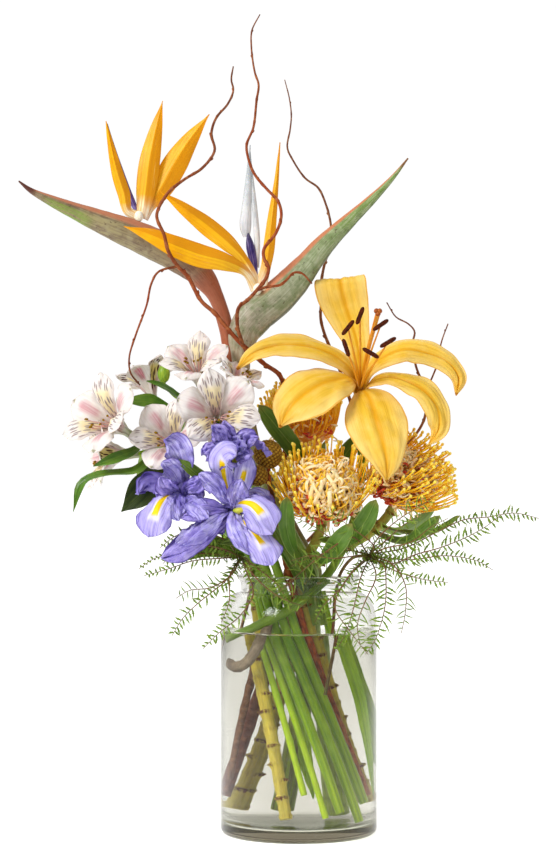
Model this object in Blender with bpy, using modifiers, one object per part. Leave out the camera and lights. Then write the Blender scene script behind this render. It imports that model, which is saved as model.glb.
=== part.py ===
"""Bird of paradise bouquet standing in the water of a glass jar vase.

Sizes are in millimetres and turn to metres where a mesh is made. +Z is up, -Y is the front of the
bouquet, and the origin is the middle of the vase's foot. A place on the front elevation is drawn
on the vase's middle plane, and seen() carries it to its own depth.
"""
import math

import bmesh
import bpy
import numpy as np
from mathutils import Matrix, Vector

MM = 0.001
GAP = 0.35          # clearance between pieces that touch

# Vase: a shouldered jar
VASE_RADIUS = 58.7
VASE_HEIGHT = 194.0
NECK_RADIUS = 43.6
LIP_RADIUS = 46.0
GLASS_WALL = 3.5
GLASS_FLOOR = 9.0
SHOULDER_FOOT = 158.0
SHOULDER_TOP = 181.0
HEEL_RADIUS = 5.0
VASE_STEPS = 26

# Water
WATER_LEVEL = 151.5

# Hand-tied spiral of stems: straight lines that all lean the same way round the binding height
BINDING_HEIGHT = 150.0
BINDING_X = -9.0            # how far the bundle stands from the vase's middle at that height
RING = 20.5                 # radius of the outer ring of stems there
TWIST = 0.0138              # turn per millimetre of height, as a tangent
RIM_LEVEL = 195.0           # above this each stem bends to its own flower

EYE = Vector((-15.5, -2000.0, 300.0))   # the front elevation is seen from here

PETAL = 0.8                 # thickness of a petal or a leaf
LEAFLET = 0.6
STEM_KNOTS = {"lily": 14, "fern": 10}   # points on a stem, the same for the hole that it stands in

COLOURS = {
    "glass": (0.90, 0.93, 0.93, 0.05),
    "water": (0.93, 0.96, 0.95, 0.05),
    "orange": (0.93, 0.48, 0.02, 0.45),
    "blue": (0.25, 0.20, 0.55, 0.5),
    "spathe": (0.36, 0.36, 0.22, 0.5),
    "lily": (0.93, 0.60, 0.13, 0.5),
    "stamen": (0.62, 0.36, 0.06, 0.6),
    "white": (0.92, 0.87, 0.85, 0.5),
    "iris": (0.38, 0.34, 0.78, 0.5),
    "pin": (0.92, 0.50, 0.04, 0.5),
    "green": (0.25, 0.38, 0.07, 0.5),
    "leaf": (0.16, 0.29, 0.06, 0.5),
    "wood": (0.52, 0.46, 0.16, 0.8),
    "bark": (0.30, 0.13, 0.06, 0.8),
    "fern": (0.28, 0.40, 0.12, 0.6),
    "seed": (0.38, 0.25, 0.05, 0.9),
}


# Small helpers

def clear_scene():
    for thing in list(bpy.data.objects):
        bpy.data.objects.remove(thing)


def new_collection(name, hidden=False):
    made = bpy.data.collections.new(name)
    made.hide_render = hidden
    bpy.context.scene.collection.children.link(made)
    return made


def material(colour):
    if colour in bpy.data.materials:
        return bpy.data.materials[colour]
    made = bpy.data.materials.new(colour)
    made.use_nodes = True
    red, green, blue, roughness = COLOURS[colour]
    shader = made.node_tree.nodes["Principled BSDF"]
    shader.inputs["Base Color"].default_value = (red, green, blue, 1.0)
    shader.inputs["Roughness"].default_value = roughness
    shader.inputs["Metallic"].default_value = 0.0
    return made


def seen(x, y, z):
    """The point drawn at (x, z) on the front elevation that lies at depth y."""
    scale = 1 - y / EYE.y
    return EYE.x + (x - EYE.x) * scale, y, EYE.z + (z - EYE.z) * scale


def placed(knots):
    """Knots (x, y, z, size) of the front elevation, carried to their depths."""
    return [(*seen(x, y, z), size) for x, y, z, size in knots]


def unit(vectors):
    vectors = np.asarray(vectors, float)
    return vectors / np.maximum(np.linalg.norm(vectors, axis=-1, keepdims=True), 1e-9)


def smooth(knots, count):
    """count points, evenly spread, on a centripetal Catmull-Rom curve through the knots."""
    knots = np.array(knots, float)
    ends = np.vstack([2 * knots[0] - knots[1], knots, 2 * knots[-1] - knots[-2]])
    dense = []
    for i in range(len(knots) - 1):
        a, b, c, d = ends[i:i + 4]
        steps = [max(np.linalg.norm(q[:3] - p[:3]), 1e-6) ** 0.5 for p, q in ((a, b), (b, c), (c, d))]
        t1 = steps[0]
        t2 = t1 + steps[1]
        t3 = t2 + steps[2]
        for t in np.linspace(t1, t2, 12, endpoint=False):
            ab = (t1 - t) / t1 * a + t / t1 * b
            bc = (t2 - t) / (t2 - t1) * b + (t - t1) / (t2 - t1) * c
            cd = (t3 - t) / (t3 - t2) * c + (t - t2) / (t3 - t2) * d
            abc = (t2 - t) / t2 * ab + t / t2 * bc
            bcd = (t3 - t) / (t3 - t1) * bc + (t - t1) / (t3 - t1) * cd
            dense.append((t2 - t) / (t2 - t1) * abc + (t - t1) / (t2 - t1) * bcd)
    dense.append(knots[-1])
    dense = np.array(dense)
    run = np.concatenate([[0], np.cumsum(np.linalg.norm(np.diff(dense[:, :3], axis=0), axis=1))])
    at = np.linspace(0, run[-1], count)
    return np.column_stack([np.interp(at, run, dense[:, k]) for k in range(dense.shape[1])])


def mesh_object(name, bm, colour, smooth_shading=True):
    mesh = bpy.data.meshes.new(name)
    bm.to_mesh(mesh)
    bm.free()
    if smooth_shading:
        mesh.shade_smooth()
    mesh.materials.append(material(colour))
    made = bpy.data.objects.new(name, mesh)
    parts.objects.link(made)
    return made


def applied(thing):
    """Makes thing's modifiers, or its curve, the mesh of a new object of the same name."""
    bpy.context.view_layer.update()
    graph = bpy.context.evaluated_depsgraph_get()
    mesh = bpy.data.meshes.new_from_object(thing.evaluated_get(graph))
    name, matrix = thing.name, thing.matrix_world.copy()
    bm = bmesh.new()
    bm.from_mesh(mesh)
    bmesh.ops.remove_doubles(bm, verts=bm.verts, dist=0.000001)
    bm.to_mesh(mesh)
    bm.free()
    bpy.data.objects.remove(thing)
    made = bpy.data.objects.new(name, mesh)
    made.matrix_world = matrix
    parts.objects.link(made)
    made.name = name
    return made


def joined(name, pieces, solver="EXACT"):
    """One body from overlapping solids, by one Boolean union on a collection."""
    first, *others = [applied(piece) for piece in pieces]
    if others:
        group = new_collection(name + "_repeats", hidden=True)
        for other in others:
            parts.objects.unlink(other)
            group.objects.link(other)
        union = first.modifiers.new("join", "BOOLEAN")
        union.operation = "UNION"
        union.operand_type = "COLLECTION"
        union.collection = group
        union.solver = solver
        first = applied(first)
        for other in others:
            bpy.data.objects.remove(other)
        bpy.data.collections.remove(group)
    first.name = name
    return first


# Shapes that the plants are made of

def blade(name, knots, colour, face=None, across=None, cup=0.15, rows=5, columns=2, thickness=PETAL):
    """A petal or a leaf along the knots (x, y, z, width), its edges raised towards its face."""
    line = smooth(knots, rows + 1)
    centre, width = line[:, :3], np.maximum(line[:, 3:], 1.0)
    tangent = unit(np.gradient(centre, axis=0))
    if across is None:
        side = unit(np.cross(tangent, np.array(face, float)))
    else:
        side = np.array(across, float) - tangent * (tangent @ np.array(across, float))[:, None]
        side = unit(side)
    raised = unit(np.cross(side, tangent))
    bm = bmesh.new()
    bmesh.ops.create_grid(bm, x_segments=columns, y_segments=rows, size=1)
    for vert in bm.verts:
        row = round((vert.co.y + 1) / 2 * rows)
        u = vert.co.x
        place = centre[row] + side[row] * u * width[row] / 2 + raised[row] * cup * u * u * width[row] / 2
        vert.co = Vector(place) * MM
    bmesh.ops.triangulate(bm, faces=bm.faces)
    made = mesh_object(name, bm, colour)
    skin = made.modifiers.new("thickness", "SOLIDIFY")
    skin.thickness = thickness * MM
    skin.offset = 0
    return made


def tube(name, knots, colour, count=None, resolution=2):
    """A stem or a twig along the knots (x, y, z, radius), smoothed to count points where that is given."""
    points = smooth(knots, count) if count else knots
    curve = bpy.data.curves.new(name, "CURVE")
    curve.dimensions = "3D"
    curve.bevel_depth = MM
    curve.bevel_resolution = resolution
    curve.use_fill_caps = True
    spline = curve.splines.new("POLY")
    spline.points.add(len(points) - 1)
    for point, (x, y, z, radius) in zip(spline.points, points):
        point.co = (x * MM, y * MM, z * MM, 1)
        point.radius = max(radius, 0.4)
    curve.materials.append(material(colour))
    made = bpy.data.objects.new(name, curve)
    parts.objects.link(made)
    return made


def ball(name, centre, radius, colour, rings=6):
    bm = bmesh.new()
    place = Matrix.Translation(Vector(centre) * MM)
    bmesh.ops.create_uvsphere(bm, u_segments=2 * rings - 2, v_segments=rings, radius=radius * MM,
                              matrix=place)
    return mesh_object(name, bm, colour)


def loft(name, line, colour, sides=8):
    """A solid through elliptical sections (x, y, z, half height, half width), flat sides front and back."""
    centre = line[:, :3]
    tangent = unit(np.gradient(centre, axis=0))
    depth = np.array((0.0, 1.0, 0.0))
    lateral = unit(depth - tangent * (tangent @ depth)[:, None])
    height = unit(np.cross(tangent, lateral))
    bm = bmesh.new()
    rings = []
    for c, up, out, (high, wide) in zip(centre, height, lateral, line[:, 3:]):
        ring = []
        for k in range(sides):
            a = math.tau * k / sides
            place = c + up * math.cos(a) * high + out * math.sin(a) * wide
            ring.append(bm.verts.new(Vector(place) * MM))
        rings.append(ring)
    for lower, upper in zip(rings, rings[1:]):
        for k in range(sides):
            n = (k + 1) % sides
            bm.faces.new((lower[k], lower[n], upper[n], upper[k]))
    bm.faces.new(rings[0][::-1])
    bm.faces.new(rings[-1])
    bmesh.ops.recalc_face_normals(bm, faces=bm.faces)
    return mesh_object(name, bm, colour)


# The vase and its water

def arc(centre_x, centre_z, radius, start, end, steps):
    turns = [math.radians(start + (end - start) * k / steps) for k in range(steps + 1)]
    return [(centre_x + radius * math.cos(a), centre_z + radius * math.sin(a)) for a in turns]


def turned(name, outline, colour, steps=VASE_STEPS):
    """A solid of revolution from an outline (radius, height) that runs down its outer side."""
    bm = bmesh.new()
    verts = [bm.verts.new((radius * MM, 0, height * MM)) for radius, height in outline]
    for a, b in zip(verts, verts[1:]):
        bm.edges.new((a, b))
    made = mesh_object(name, bm, colour, smooth_shading=False)
    screw = made.modifiers.new("turn", "SCREW")
    screw.steps = screw.render_steps = steps
    screw.use_merge_vertices = True
    screw.merge_threshold = 0.0001
    screw.use_smooth_shade = True
    return made


def shoulder(inset, steps=4):
    """The vase's shoulder from its neck down to its side, set in by the wall's thickness."""
    side, neck = VASE_RADIUS - inset, NECK_RADIUS - inset
    drop = SHOULDER_TOP - SHOULDER_FOOT
    points = []
    for k in range(steps + 1):
        a = math.radians(90 - 90 * k / steps)
        points.append((neck + (side - neck) * math.cos(a), SHOULDER_FOOT - inset / 2 + drop * math.sin(a)))
    return points


def vase():
    inner_lip = NECK_RADIUS - GLASS_WALL + 0.6
    side = VASE_RADIUS - GLASS_WALL
    outline = [(inner_lip, VASE_HEIGHT - 1.2), (inner_lip + 1.6, VASE_HEIGHT),
               (LIP_RADIUS - 1.2, VASE_HEIGHT)]
    outline += [(LIP_RADIUS, VASE_HEIGHT - 1.6), (LIP_RADIUS - 0.6, VASE_HEIGHT - 4),
                (NECK_RADIUS, VASE_HEIGHT - 6)]
    outline += shoulder(0)
    outline += arc(VASE_RADIUS - HEEL_RADIUS, HEEL_RADIUS, HEEL_RADIUS, 0, -90, 3)
    outline += [(0, 0)]
    made = [(0, GLASS_FLOOR), (side - 4, GLASS_FLOOR), (side, GLASS_FLOOR + 4)]
    made += shoulder(GLASS_WALL)[::-1]
    made += [(NECK_RADIUS - GLASS_WALL, VASE_HEIGHT - 6)]
    return turned("vase", outline + made + [outline[0]], "glass")


def water(stems):
    """The water, with a plain hole for each stem that stands in it."""
    side = VASE_RADIUS - GLASS_WALL - GAP
    outline = [(0, WATER_LEVEL), (side, WATER_LEVEL), (side, GLASS_FLOOR + 4 + GAP)]
    outline += [(side - 4, GLASS_FLOOR + GAP), (0, GLASS_FLOOR + GAP)]
    body = turned("water", outline, "water")
    tubes = [tube("hole", knots, "water", resolution=resolution) for knots, resolution in stems]
    holes = joined("stem_holes", tubes)
    cutters.objects.link(holes)
    parts.objects.unlink(holes)
    holes.display_type = "WIRE"
    cut = body.modifiers.new("stem_holes", "BOOLEAN")
    cut.operation = "DIFFERENCE"
    cut.object = holes
    return body


# The stems

# Each stem of the spiral: ring radius, angle round it at the binding, stem radius, height of its cut end
BUNDLE = {
    "pincushion_back": (RING, 198, 4.2, 17),
    "alstroemeria_left": (RING, 220, 2.2, 34),
    "alstroemeria_right": (RING, 235, 2.2, 17),
    "iris_left": (RING, 252, 3.4, 20),
    "iris_front": (RING, 273, 3.4, 12),
    "iris_top": (RING, 294, 3.4, 24),
    "berry": (RING, 313, 2.7, 28),
    "pincushion_front": (RING, 333, 4.2, 22),
    "strelitzia_right": (RING, 4, 5.2, 11),
    "strelitzia_left": (RING, 36, 5.2, 14),
    "pincushion_right": (RING, 65, 4.2, 15),
    "willow_left": (RING, 91, 3.2, 26),
    "willow_back": (RING, 116, 2.0, 40),
}


def bundle_point(name, z):
    """The middle of a stem of the spiral at height z, with its radius."""
    ring, degrees, radius, _ = BUNDLE[name]
    a = math.radians(degrees)
    turn = TWIST * (z - BINDING_HEIGHT)
    x, y = ring * math.cos(a), ring * math.sin(a)
    return x + turn * y + BINDING_X * z / BINDING_HEIGHT, y - turn * x, z, radius


def rise(name, goal, goal_direction, end_radius, pull=(25.0, 40.0), steps=6):
    """A stem's knots: straight up the spiral to the rim, then a Bezier curve to goal."""
    foot = BUNDLE[name][3]
    start = np.array(bundle_point(name, RIM_LEVEL))
    below = np.array(bundle_point(name, RIM_LEVEL - 60))
    leaving = unit((start - below)[:3])
    goal = np.array(goal, float)
    reach = 0.6 * np.linalg.norm(goal - start[:3]) / sum(pull)
    first = start[:3] + leaving * pull[0] * min(reach, 1)
    second = goal - unit(goal_direction) * pull[1] * min(reach, 1)
    knots = [bundle_point(name, foot)]
    for k in range(steps + 1):
        t = k / steps
        spot = (1 - t) ** 3 * start[:3] + 3 * (1 - t) ** 2 * t * first
        spot = spot + 3 * (1 - t) * t * t * second + t ** 3 * goal
        knots.append((*spot, start[3] + (end_radius - start[3]) * t))
    return knots


def stem_at(knots, height):
    """The point of a rising stem at a height, where a leaf of its starts."""
    lines = np.array(knots)
    rising = np.maximum.accumulate(lines[:, 2])
    return tuple(np.interp(height, rising, lines[:, k]) for k in range(3))


def leaf(stem, height, face, knots, cup=0.2):
    """A leaf that grows out of a stem at a height, or out of its top."""
    start = stem[-1][:3] if height is None else stem_at(stem, height)
    return blade("leaf", [(*start, 3)] + placed(knots), "leaf", face=face, cup=cup, rows=4)


def from_heart(heart, distance, width, knots):
    """A petal's knots, with its start just off the middle of the ball that carries it."""
    heart = np.array(heart)
    start = heart + unit(np.array(knots[0][:3]) - heart) * distance
    return [(*start, width)] + knots


# Bird of paradise: a stalk that turns into a long beaked spathe, three orange sepals and a blue tongue

SPATHE_LEFT = [   # x, depth, z, full height, full width of the stalk and beak
    (-50, 9, 350, 11, 10.5), (-54.5, 8, 379, 11, 10), (-62, 7, 402, 12, 10.5), (-71, 5, 416, 18, 12),
    (-84, 2, 428, 23, 14), (-101, -2, 438, 24, 15), (-120, -5, 447, 23, 14), (-142, -9, 456, 19, 12),
    (-164, -12, 465, 13.5, 9), (-186, -16, 474.5, 8, 6), (-201, -18, 482, 4, 3.4), (-210, -20, 489, 1.2, 1.2),
]
SPATHE_RIGHT = [
    (-42.5, -2, 345, 12, 11), (-43, -2, 358, 15, 13), (-41, -1, 375, 24, 16), (-32, 0, 388, 27, 17),
    (-20, 2, 398, 27, 17), (-6.5, 5, 411, 25, 16), (6, 8, 425.5, 20, 14), (19, 11, 441, 16, 12),
    (38.5, 16, 460, 11, 9), (54, 20, 474.5, 7.5, 6.4), (70, 24, 491, 4, 3.6), (82, 27, 506, 1.2, 1.2),
]
SEPALS_LEFT = [
    [(-120, -4, 462.3, 5), (-128, -7, 467, 6.5), (-131, -10, 480, 8.5), (-135.5, -14, 494, 8),
     (-140, -18, 512, 5),
     (-144.5, -23, 534, 1)],
    [(-118, -3, 461, 5), (-116.5, -3, 468, 9), (-114.5, -2, 483, 13), (-112, 0, 502, 14), (-108, 3, 523, 10),
     (-102, 7, 549, 1)],
    [(-117, -2, 461, 5), (-113, 0, 470, 9), (-103, 3, 484, 15), (-93.5, 6, 501, 17), (-83, 9, 518, 12),
     (-67, 12, 539, 1)],
]
TONGUE_LEFT = [
    (-123, 4, 470, 4), (-128, 4, 482, 4.5), (-133, 0, 496, 4), (-138.5, -5, 512, 3.5), (-143.5, -10, 532, 1),
]
SEPALS_RIGHT = [
    [(-31, -4, 408, 6), (-39, -9, 421, 7), (-55, -18, 429, 13), (-74, -22, 434, 17), (-93, -23, 441, 15),
     (-111.5, -22, 449, 10), (-131, -20, 455, 1)],
    [(-31, -4, 409, 6), (-38.5, -8, 427, 6), (-53, -13, 443, 12), (-70, -14, 457, 13), (-85, -15, 468, 9),
     (-105, -16, 482, 1)],
    [(-30, -4, 408, 7), (-25, -5, 423, 7), (-22.5, -8, 437, 8), (-20, -6, 460, 6.5), (-16.5, -3, 490, 3),
     (-14, 0, 518, 1)],
]
TONGUE_RIGHT = [
    (-32.5, 3, 420, 5), (-35, 4, 436, 6.5), (-36.5, 4, 444, 9), (-38.5, 4, 452, 10), (-38.5, 4, 466, 8),
    (-37.5, 4, 490, 5), (-36.5, 5, 514, 1),
]
CLAW = 3.4          # radius of the white foot that the sepals share


def strelitzia(side, spathe, sepals, tongue):
    name = "strelitzia_" + side
    beak = [(*seen(x, y, z), high / 2, wide / 2) for x, y, z, high, wide in spathe]
    goal, ahead = np.array(beak[0][:3]), np.array(beak[1][:3])
    stalk = [(*knot, knot[3]) for knot in rise(name, goal, ahead - goal, beak[0][3], pull=(8, 85))]
    line = np.vstack([stalk[:-1], smooth(beak, 16)])
    loft(name + "_spathe", line, "spathe")
    front = (0.1, -1, 0.25)
    blades = [
        blade(f"sepal_{k}", placed(knots), "orange", face=front, cup=-0.35, rows=6)
        for k, knots in enumerate(sepals)
    ]
    base = seen(*sepals[0][0][:3])
    joined(name + "_sepals", [ball("claw", base, CLAW, "orange", rings=5)] + blades)
    dart = from_heart(base, CLAW + 3 * GAP, 2.0, placed(tongue))
    blade(name + "_tongue", dart, "blue", face=(0.3, -1, 0), cup=-0.3, rows=6, thickness=1.2)


# Lily: six recurved tepals round a funnel, with stamens and a pistil

LILY_BASE = (46, 8, 324)
LILY_TEPALS = {   # the way each faces, then its line of x, depth, z and width
    "up": (None, [(46, 2, 345, 12), (43.5, 7, 368, 20), (39, 10, 383, 29), (34, 10, 400, 38),
                  (29, 9, 412, 38),
                  (26, 13, 415, 35), (17, 21, 403, 8)]),
    "left": ((0, -0.45, 1), [(40, -2, 346, 12), (27, -6, 358, 20), (4, -13, 366, 26), (-18, -20, 366, 24),
                             (-34, -26, 360, 16), (-46.5, -29, 348, 2)]),
    "lower_left": ((-0.1, -0.75, 0.8), [(40, -8, 338, 14), (31, -18, 338, 30), (16, -30, 334, 41),
                                        (2, -38, 325, 37), (-7, -41, 314, 22), (-12, -40, 304, 2)]),
    "down": ((0, -0.9, 0.6), [(48, -10, 332, 14), (53, -22, 326, 34), (58, -36, 311, 46), (63, -44, 294, 39),
                              (66, -46, 279, 24), (66, -43, 263, 2)]),
    "lower_right": ((0.2, -0.6, 1), [(54, -8, 338, 10), (66, -14, 342, 16), (82, -22, 339, 22),
                                     (96, -27, 331, 23),
                                     (104.5, -29, 317, 21), (105, -28, 303, 15), (97, -25, 290, 2)]),
    "right": ((0, -0.55, 1), [(52, -2, 346, 10), (64, -1, 357, 18), (81, -2, 363, 27), (98.5, -5, 360, 25),
                              (112, -8, 353, 19), (120, -10, 342, 13), (118, -11, 328, 3)]),
}
STAMENS = [   # where each anther sits and which way it lies
    ((46, -46, 388), (0.35, 0, 0.9)), ((37, -48, 379), (0.6, 0, 0.75)), ((35.5, -50, 364), (-0.3, 0, 0.9)),
    ((61.5, -44, 381), (0.8, 0, 0.55)), ((54, -54, 360), (0.85, 0, -0.5)), ((67, -38, 368), (0.85, 0, 0.5)),
]
PISTIL_TIP = (59.5, -36, 390)
LILY_CUT_END = [   # x, depth, z, radius: it lies over the water, left, and rises to the right
    (-50, -13, 146, 3.6), (-40, -20, 151, 3.6), (-26, -28, 158, 3.5), (-6, -31, 168, 3.4),
    (16, -29, 187, 3.3), (30, -16, 207, 3.2), (41, 2, 234, 3.1), (47, 16, 268, 3.0),
]
LILY_FOLD = (1, 0, 0.16)    # the standing tepal, which faces no one way, folds back along this line
LILY_THROAT = (46.2, 1.1, 331.9)
RECEPTACLE = 4.5
ANTHER = 6.5                # half an anther's length


def lily():
    tepals = []
    for name, (face, knots) in LILY_TEPALS.items():
        whole = from_heart(seen(*LILY_BASE), 3.0, 4, placed(knots))
        across = None if face else LILY_FOLD
        tepals.append(blade("tepal_" + name, whole, "lily", face=face, across=across, cup=-0.15, rows=6))
    joined("lily_tepals", [ball("receptacle", seen(*LILY_BASE), RECEPTACLE, "lily", rings=5)] + tepals)

    throat = LILY_THROAT
    style = placed([(*throat, 1.8), (52, -22, 362, 1.5), (*PISTIL_TIP, 1.8)])
    pieces = [tube("pistil", style, "stamen", resolution=0)]
    pieces.append(ball("stigma", seen(*PISTIL_TIP), 3.2, "stamen", rings=4))
    pieces.append(ball("ovary", seen(*throat), 2.4, "stamen", rings=4))
    for (x, y, z), lie in STAMENS:
        middle = ((x + 2 * throat[0]) / 3, (y + throat[1]) / 2 - 2, (z + throat[2]) / 2 - 4)
        line = placed([(*throat, 1.2), (*middle, 0.9), (x, y, z, 0.8)])
        pieces.append(tube("filament", line, "stamen", resolution=0))
        tip = np.array(seen(x, y, z))
        reach = unit(lie) * ANTHER
        ends = [(*(tip - reach), 0.7), (*(tip - reach / 2), 1.9), (*(tip + reach / 2), 1.9),
                (*(tip + reach), 0.7)]
        pieces.append(tube("anther", ends, "stamen", resolution=0))
    joined("lily_stamens", pieces)

    top = np.array(seen(*LILY_BASE)) + np.array((0, 3.9, -3.9))
    line = placed(LILY_CUT_END) + [(*(top + np.array((0, 3, -8))), 3.0), (*top, 2.8)]
    tube("lily_stem", line, "green", STEM_KNOTS["lily"], 1)


# Alstroemeria: open funnels of six tepals on the stalks of two umbels

UMBELS = {"left": (-115, -12, 298), "right": (-73, -4, 318)}
BLOOMS = {   # umbel, middle of the open flower, the way it faces, its turn, its size against the largest
    "far_left": ("left", (-147, -34, 313), (-0.55, -0.7, 0.4), 10, 1.0),
    "low_left": ("left", (-148, -14, 284), (-0.95, -0.25, 0.0), 40, 0.8),
    "middle": ("left", (-98, -40, 298), (-0.2, -0.92, 0.35), -20, 0.95),
    "back_left": ("left", (-114, 12, 342), (-0.3, 0.35, 0.9), 0, 0.8),
    "front": ("right", (-60, -47, 316), (0.05, -0.97, 0.25), 15, 1.05),
    "top": ("right", (-78, -16, 354), (-0.15, -0.6, 0.78), 0, 0.95),
    "right": ("right", (-44, -26, 343), (0.45, -0.3, 0.85), 20, 0.7),
}
FUNNEL = [   # out from the middle, height and width along a tepal
    (2.2, -33, 2), (3, -22, 3.4), (7, -10, 8), (15, 0, 17.5), (22, 4, 19), (27, 5, 5),
]
INNER_LIFT = 2.5 / 20       # the three inner tepals stand higher and are narrower
INNER_WIDTH = 0.75
OUTER_WIDTH = 1.05
BLOOM_DEPTH = 33.0          # from the middle of the open flower back to its neck
NECK_BALL = 3.0
UMBEL_BUD = [(-92, -2, 327, 1.2), (-101, -2, 337, 1.3), (-101, -2, 340, 3.6), (-101, -2, 346, 4.6),
             (-101, -2, 352, 1.5)]


def local_frame(axis, turn):
    """Right and up across an axis, turned about it by some degrees."""
    axis = unit(axis)
    right = unit(np.cross((0, 0, 1) if abs(axis[2]) < 0.95 else (0, 1, 0), axis))
    up = np.cross(axis, right)
    a = math.radians(turn)
    return right * math.cos(a) + up * math.sin(a), up * math.cos(a) - right * math.sin(a), axis


def alstroemeria_bloom(name, middle, axis, turn, size):
    right, up, axis = local_frame(axis, turn)
    middle = np.array(seen(*middle))
    tepals = []
    for k in range(6):
        inner = k % 2
        a = math.radians(30 + 60 * k)
        out = right * math.cos(a) + up * math.sin(a)
        across = np.cross(axis, out)
        knots = []
        for radius, height, width in FUNNEL:
            rising = height + inner * INNER_LIFT * radius
            place = middle + (out * (radius - inner) + axis * rising) * size
            knots.append((*place, width * size * (INNER_WIDTH if inner else OUTER_WIDTH)))
        tepals.append(blade(f"tepal_{k}", knots, "white", across=across, rows=4, columns=1))
    base = middle - axis * (BLOOM_DEPTH - 1) * size
    return joined("alstroemeria_" + name, [ball("neck", base, NECK_BALL, "white", rings=4)] + tepals)


def alstroemeria_umbel(side, leaves):
    name = "alstroemeria_" + side
    node = np.array(seen(*UMBELS[side]))
    knots = rise(name, node, (-0.3, 0, 1), 2.2)
    pieces = [tube("stem", knots, "green", resolution=1), ball("node", node, 3.2, "green", rings=4)]
    for umbel, middle, axis, _, size in BLOOMS.values():
        if umbel != side:
            continue
        back = np.array(seen(*middle)) - unit(axis) * ((BLOOM_DEPTH - 1) * size + NECK_BALL + 1.3 * GAP)
        bend = back - unit(axis) * 9 * size
        pieces.append(tube("pedicel", [(*node, 1.4), (*bend, 1.3), (*back, 1.2)], "green", 5, 0))
    pieces += [leaf(knots, None, face, line) for face, line in leaves]
    if side == "right":
        pieces.append(tube("bud", placed([(*UMBELS[side], 1.2)] + UMBEL_BUD), "green", 8, 1))
    joined(name + "_stem", pieces)


LEFT_UMBEL_LEAVES = [   # the way each faces and its line: they all leave from the umbel's node
    ((0.2, -0.5, 1), [(-112, -26, 282, 6), (-122, -38, 272, 9), (-146, -42, 269, 10), (-162, -42, 263, 8),
                      (-169, -42, 241, 1.5)]),
    ((0, -1, 0.5), [(-122, -32, 288, 6), (-138, -44, 281, 9), (-154, -46, 275, 2)]),
    ((0.3, -1, 0.3), [(-108, -18, 272, 14), (-118, -24, 256, 22), (-133, -28, 241, 3)]),
    ((-0.4, 1, 0.4), [(-108, 8, 292, 14), (-112, 24, 280, 16), (-122, 34, 262, 2)]),
]
RIGHT_UMBEL_LEAVES = [
    ((0.2, -0.8, 0.8), [(-95, -2, 316, 10), (-112, -4, 323, 15), (-133, -10, 324, 2)]),
    ((0, -0.6, 1), [(-88, -10, 326, 7), (-102, -14, 335, 9), (-114, -16, 339, 1.5)]),
    ((0, 1, 0.5), [(-78, 14, 312, 12), (-92, 28, 306, 15), (-108, 36, 292, 2)]),
]


# Dutch iris: broad falls, standing petals and crests round one point, on three stems

IRIS_BASES = {"front": (-48, -50, 240), "left": (-84, -48, 250), "top": (-50, -58, 282)}
IRIS_PETALS = {
    "front": [
        ((0.2, -1, 0.3), -0.2, [(-46, -70, 247, 8), (-36, -82, 247, 20), (-28, -88, 240, 26),
                                (-23, -89, 230, 20),
                                (-20, -88, 224, 6)]),
        ((0.2, -1, 0.3), -0.2, [(-44, -68, 236, 7), (-34, -80, 226, 14), (-26, -86, 215, 24),
                                (-22, -88, 207, 18),
                                (-20, -87, 201, 5)]),
        ((0.1, -1, 0.2), -0.25, [(-48, -66, 240, 8), (-47, -76, 231, 15), (-41, -80, 219, 16),
                                 (-37, -78, 209, 6)]),
        ((0, -1, 0.3), -0.2, [(-52, -64, 252, 7), (-56, -70, 268, 14), (-57, -78, 280, 22),
                              (-52, -84, 285, 17),
                              (-47, -86, 283, 6)]),
        ((0.3, -1, 0.1), 0.3, [(-46, -62, 252, 8), (-42, -64, 266, 16), (-39, -64, 278, 14),
                               (-38, -62, 284, 4)]),
        ((0.2, -1, 0), 0.35, [(-48, -68, 248, 8), (-46, -78, 257, 17), (-43, -80, 265, 10)]),
        ((-0.3, -1, 0.3), -0.2, [(-56, -68, 250, 8), (-64, -76, 262, 15), (-74, -80, 269, 10)]),
        ((-0.1, -1, 0.4), -0.2, [(-58, -66, 244, 8), (-70, -73, 245, 17), (-82, -76, 241, 17),
                                 (-91, -76, 237, 6)]),
        ((0, -1, 0.5), 0.2, [(-40, -54, 248, 8), (-33, -52, 252, 15), (-26, -50, 247, 17),
                             (-21, -50, 240, 5)]),
    ],
    "left": [
        ((-0.3, -1, 0.3), -0.2, [(-96, -64, 254, 8), (-103, -76, 249, 17), (-108, -83, 239, 25),
                                 (-111, -85, 230, 22),
                                 (-112, -83, 222, 6)]),
        ((-0.2, -1, 0), 0.3, [(-94, -62, 257, 8), (-101, -74, 261, 15), (-104, -76, 267, 7)]),
        ((0, -1, 0.3), -0.2, [(-89, -60, 262, 9), (-95, -69, 272, 19), (-102, -75, 277, 9)]),
        ((0, -1, 0.2), 0.2, [(-86, -58, 268, 9), (-88, -63, 282, 19), (-94, -66, 292, 21),
                             (-101, -69, 295, 7)]),
        ((0.1, -1, 0), 0.3, [(-84, -62, 258, 8), (-76, -66, 262, 13), (-70, -64, 268, 5)]),
        ((-0.6, 1, 0.3), 0.2, [(-94, -44, 256, 8), (-104, -38, 262, 16), (-114, -38, 262, 16),
                               (-121, -42, 254, 4)]),
    ],
    "top": [
        ((0, -1, 0.3), 0.25, [(-55, -67, 290, 9), (-60, -74, 300, 15), (-65, -77, 306, 6)]),
        ((0.2, -1, 0.2), 0.25, [(-46, -66, 290, 9), (-38, -71, 296, 15), (-30, -71, 297, 5)]),
        ((0, -1, 0), 0.3, [(-51, -65, 291, 8), (-54, -70, 302, 12), (-56, -72, 309, 4)]),
        ((0.3, 0.3, 1), 0.2, [(-46, -55, 288, 8), (-36, -52, 293, 15), (-27, -53, 290, 12),
                              (-22, -57, 283, 3)]),
        ((-0.2, -1, 0.4), -0.2, [(-56, -64, 286, 8), (-66, -65, 288, 14), (-73, -67, 284, 5)]),
    ],
}
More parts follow.
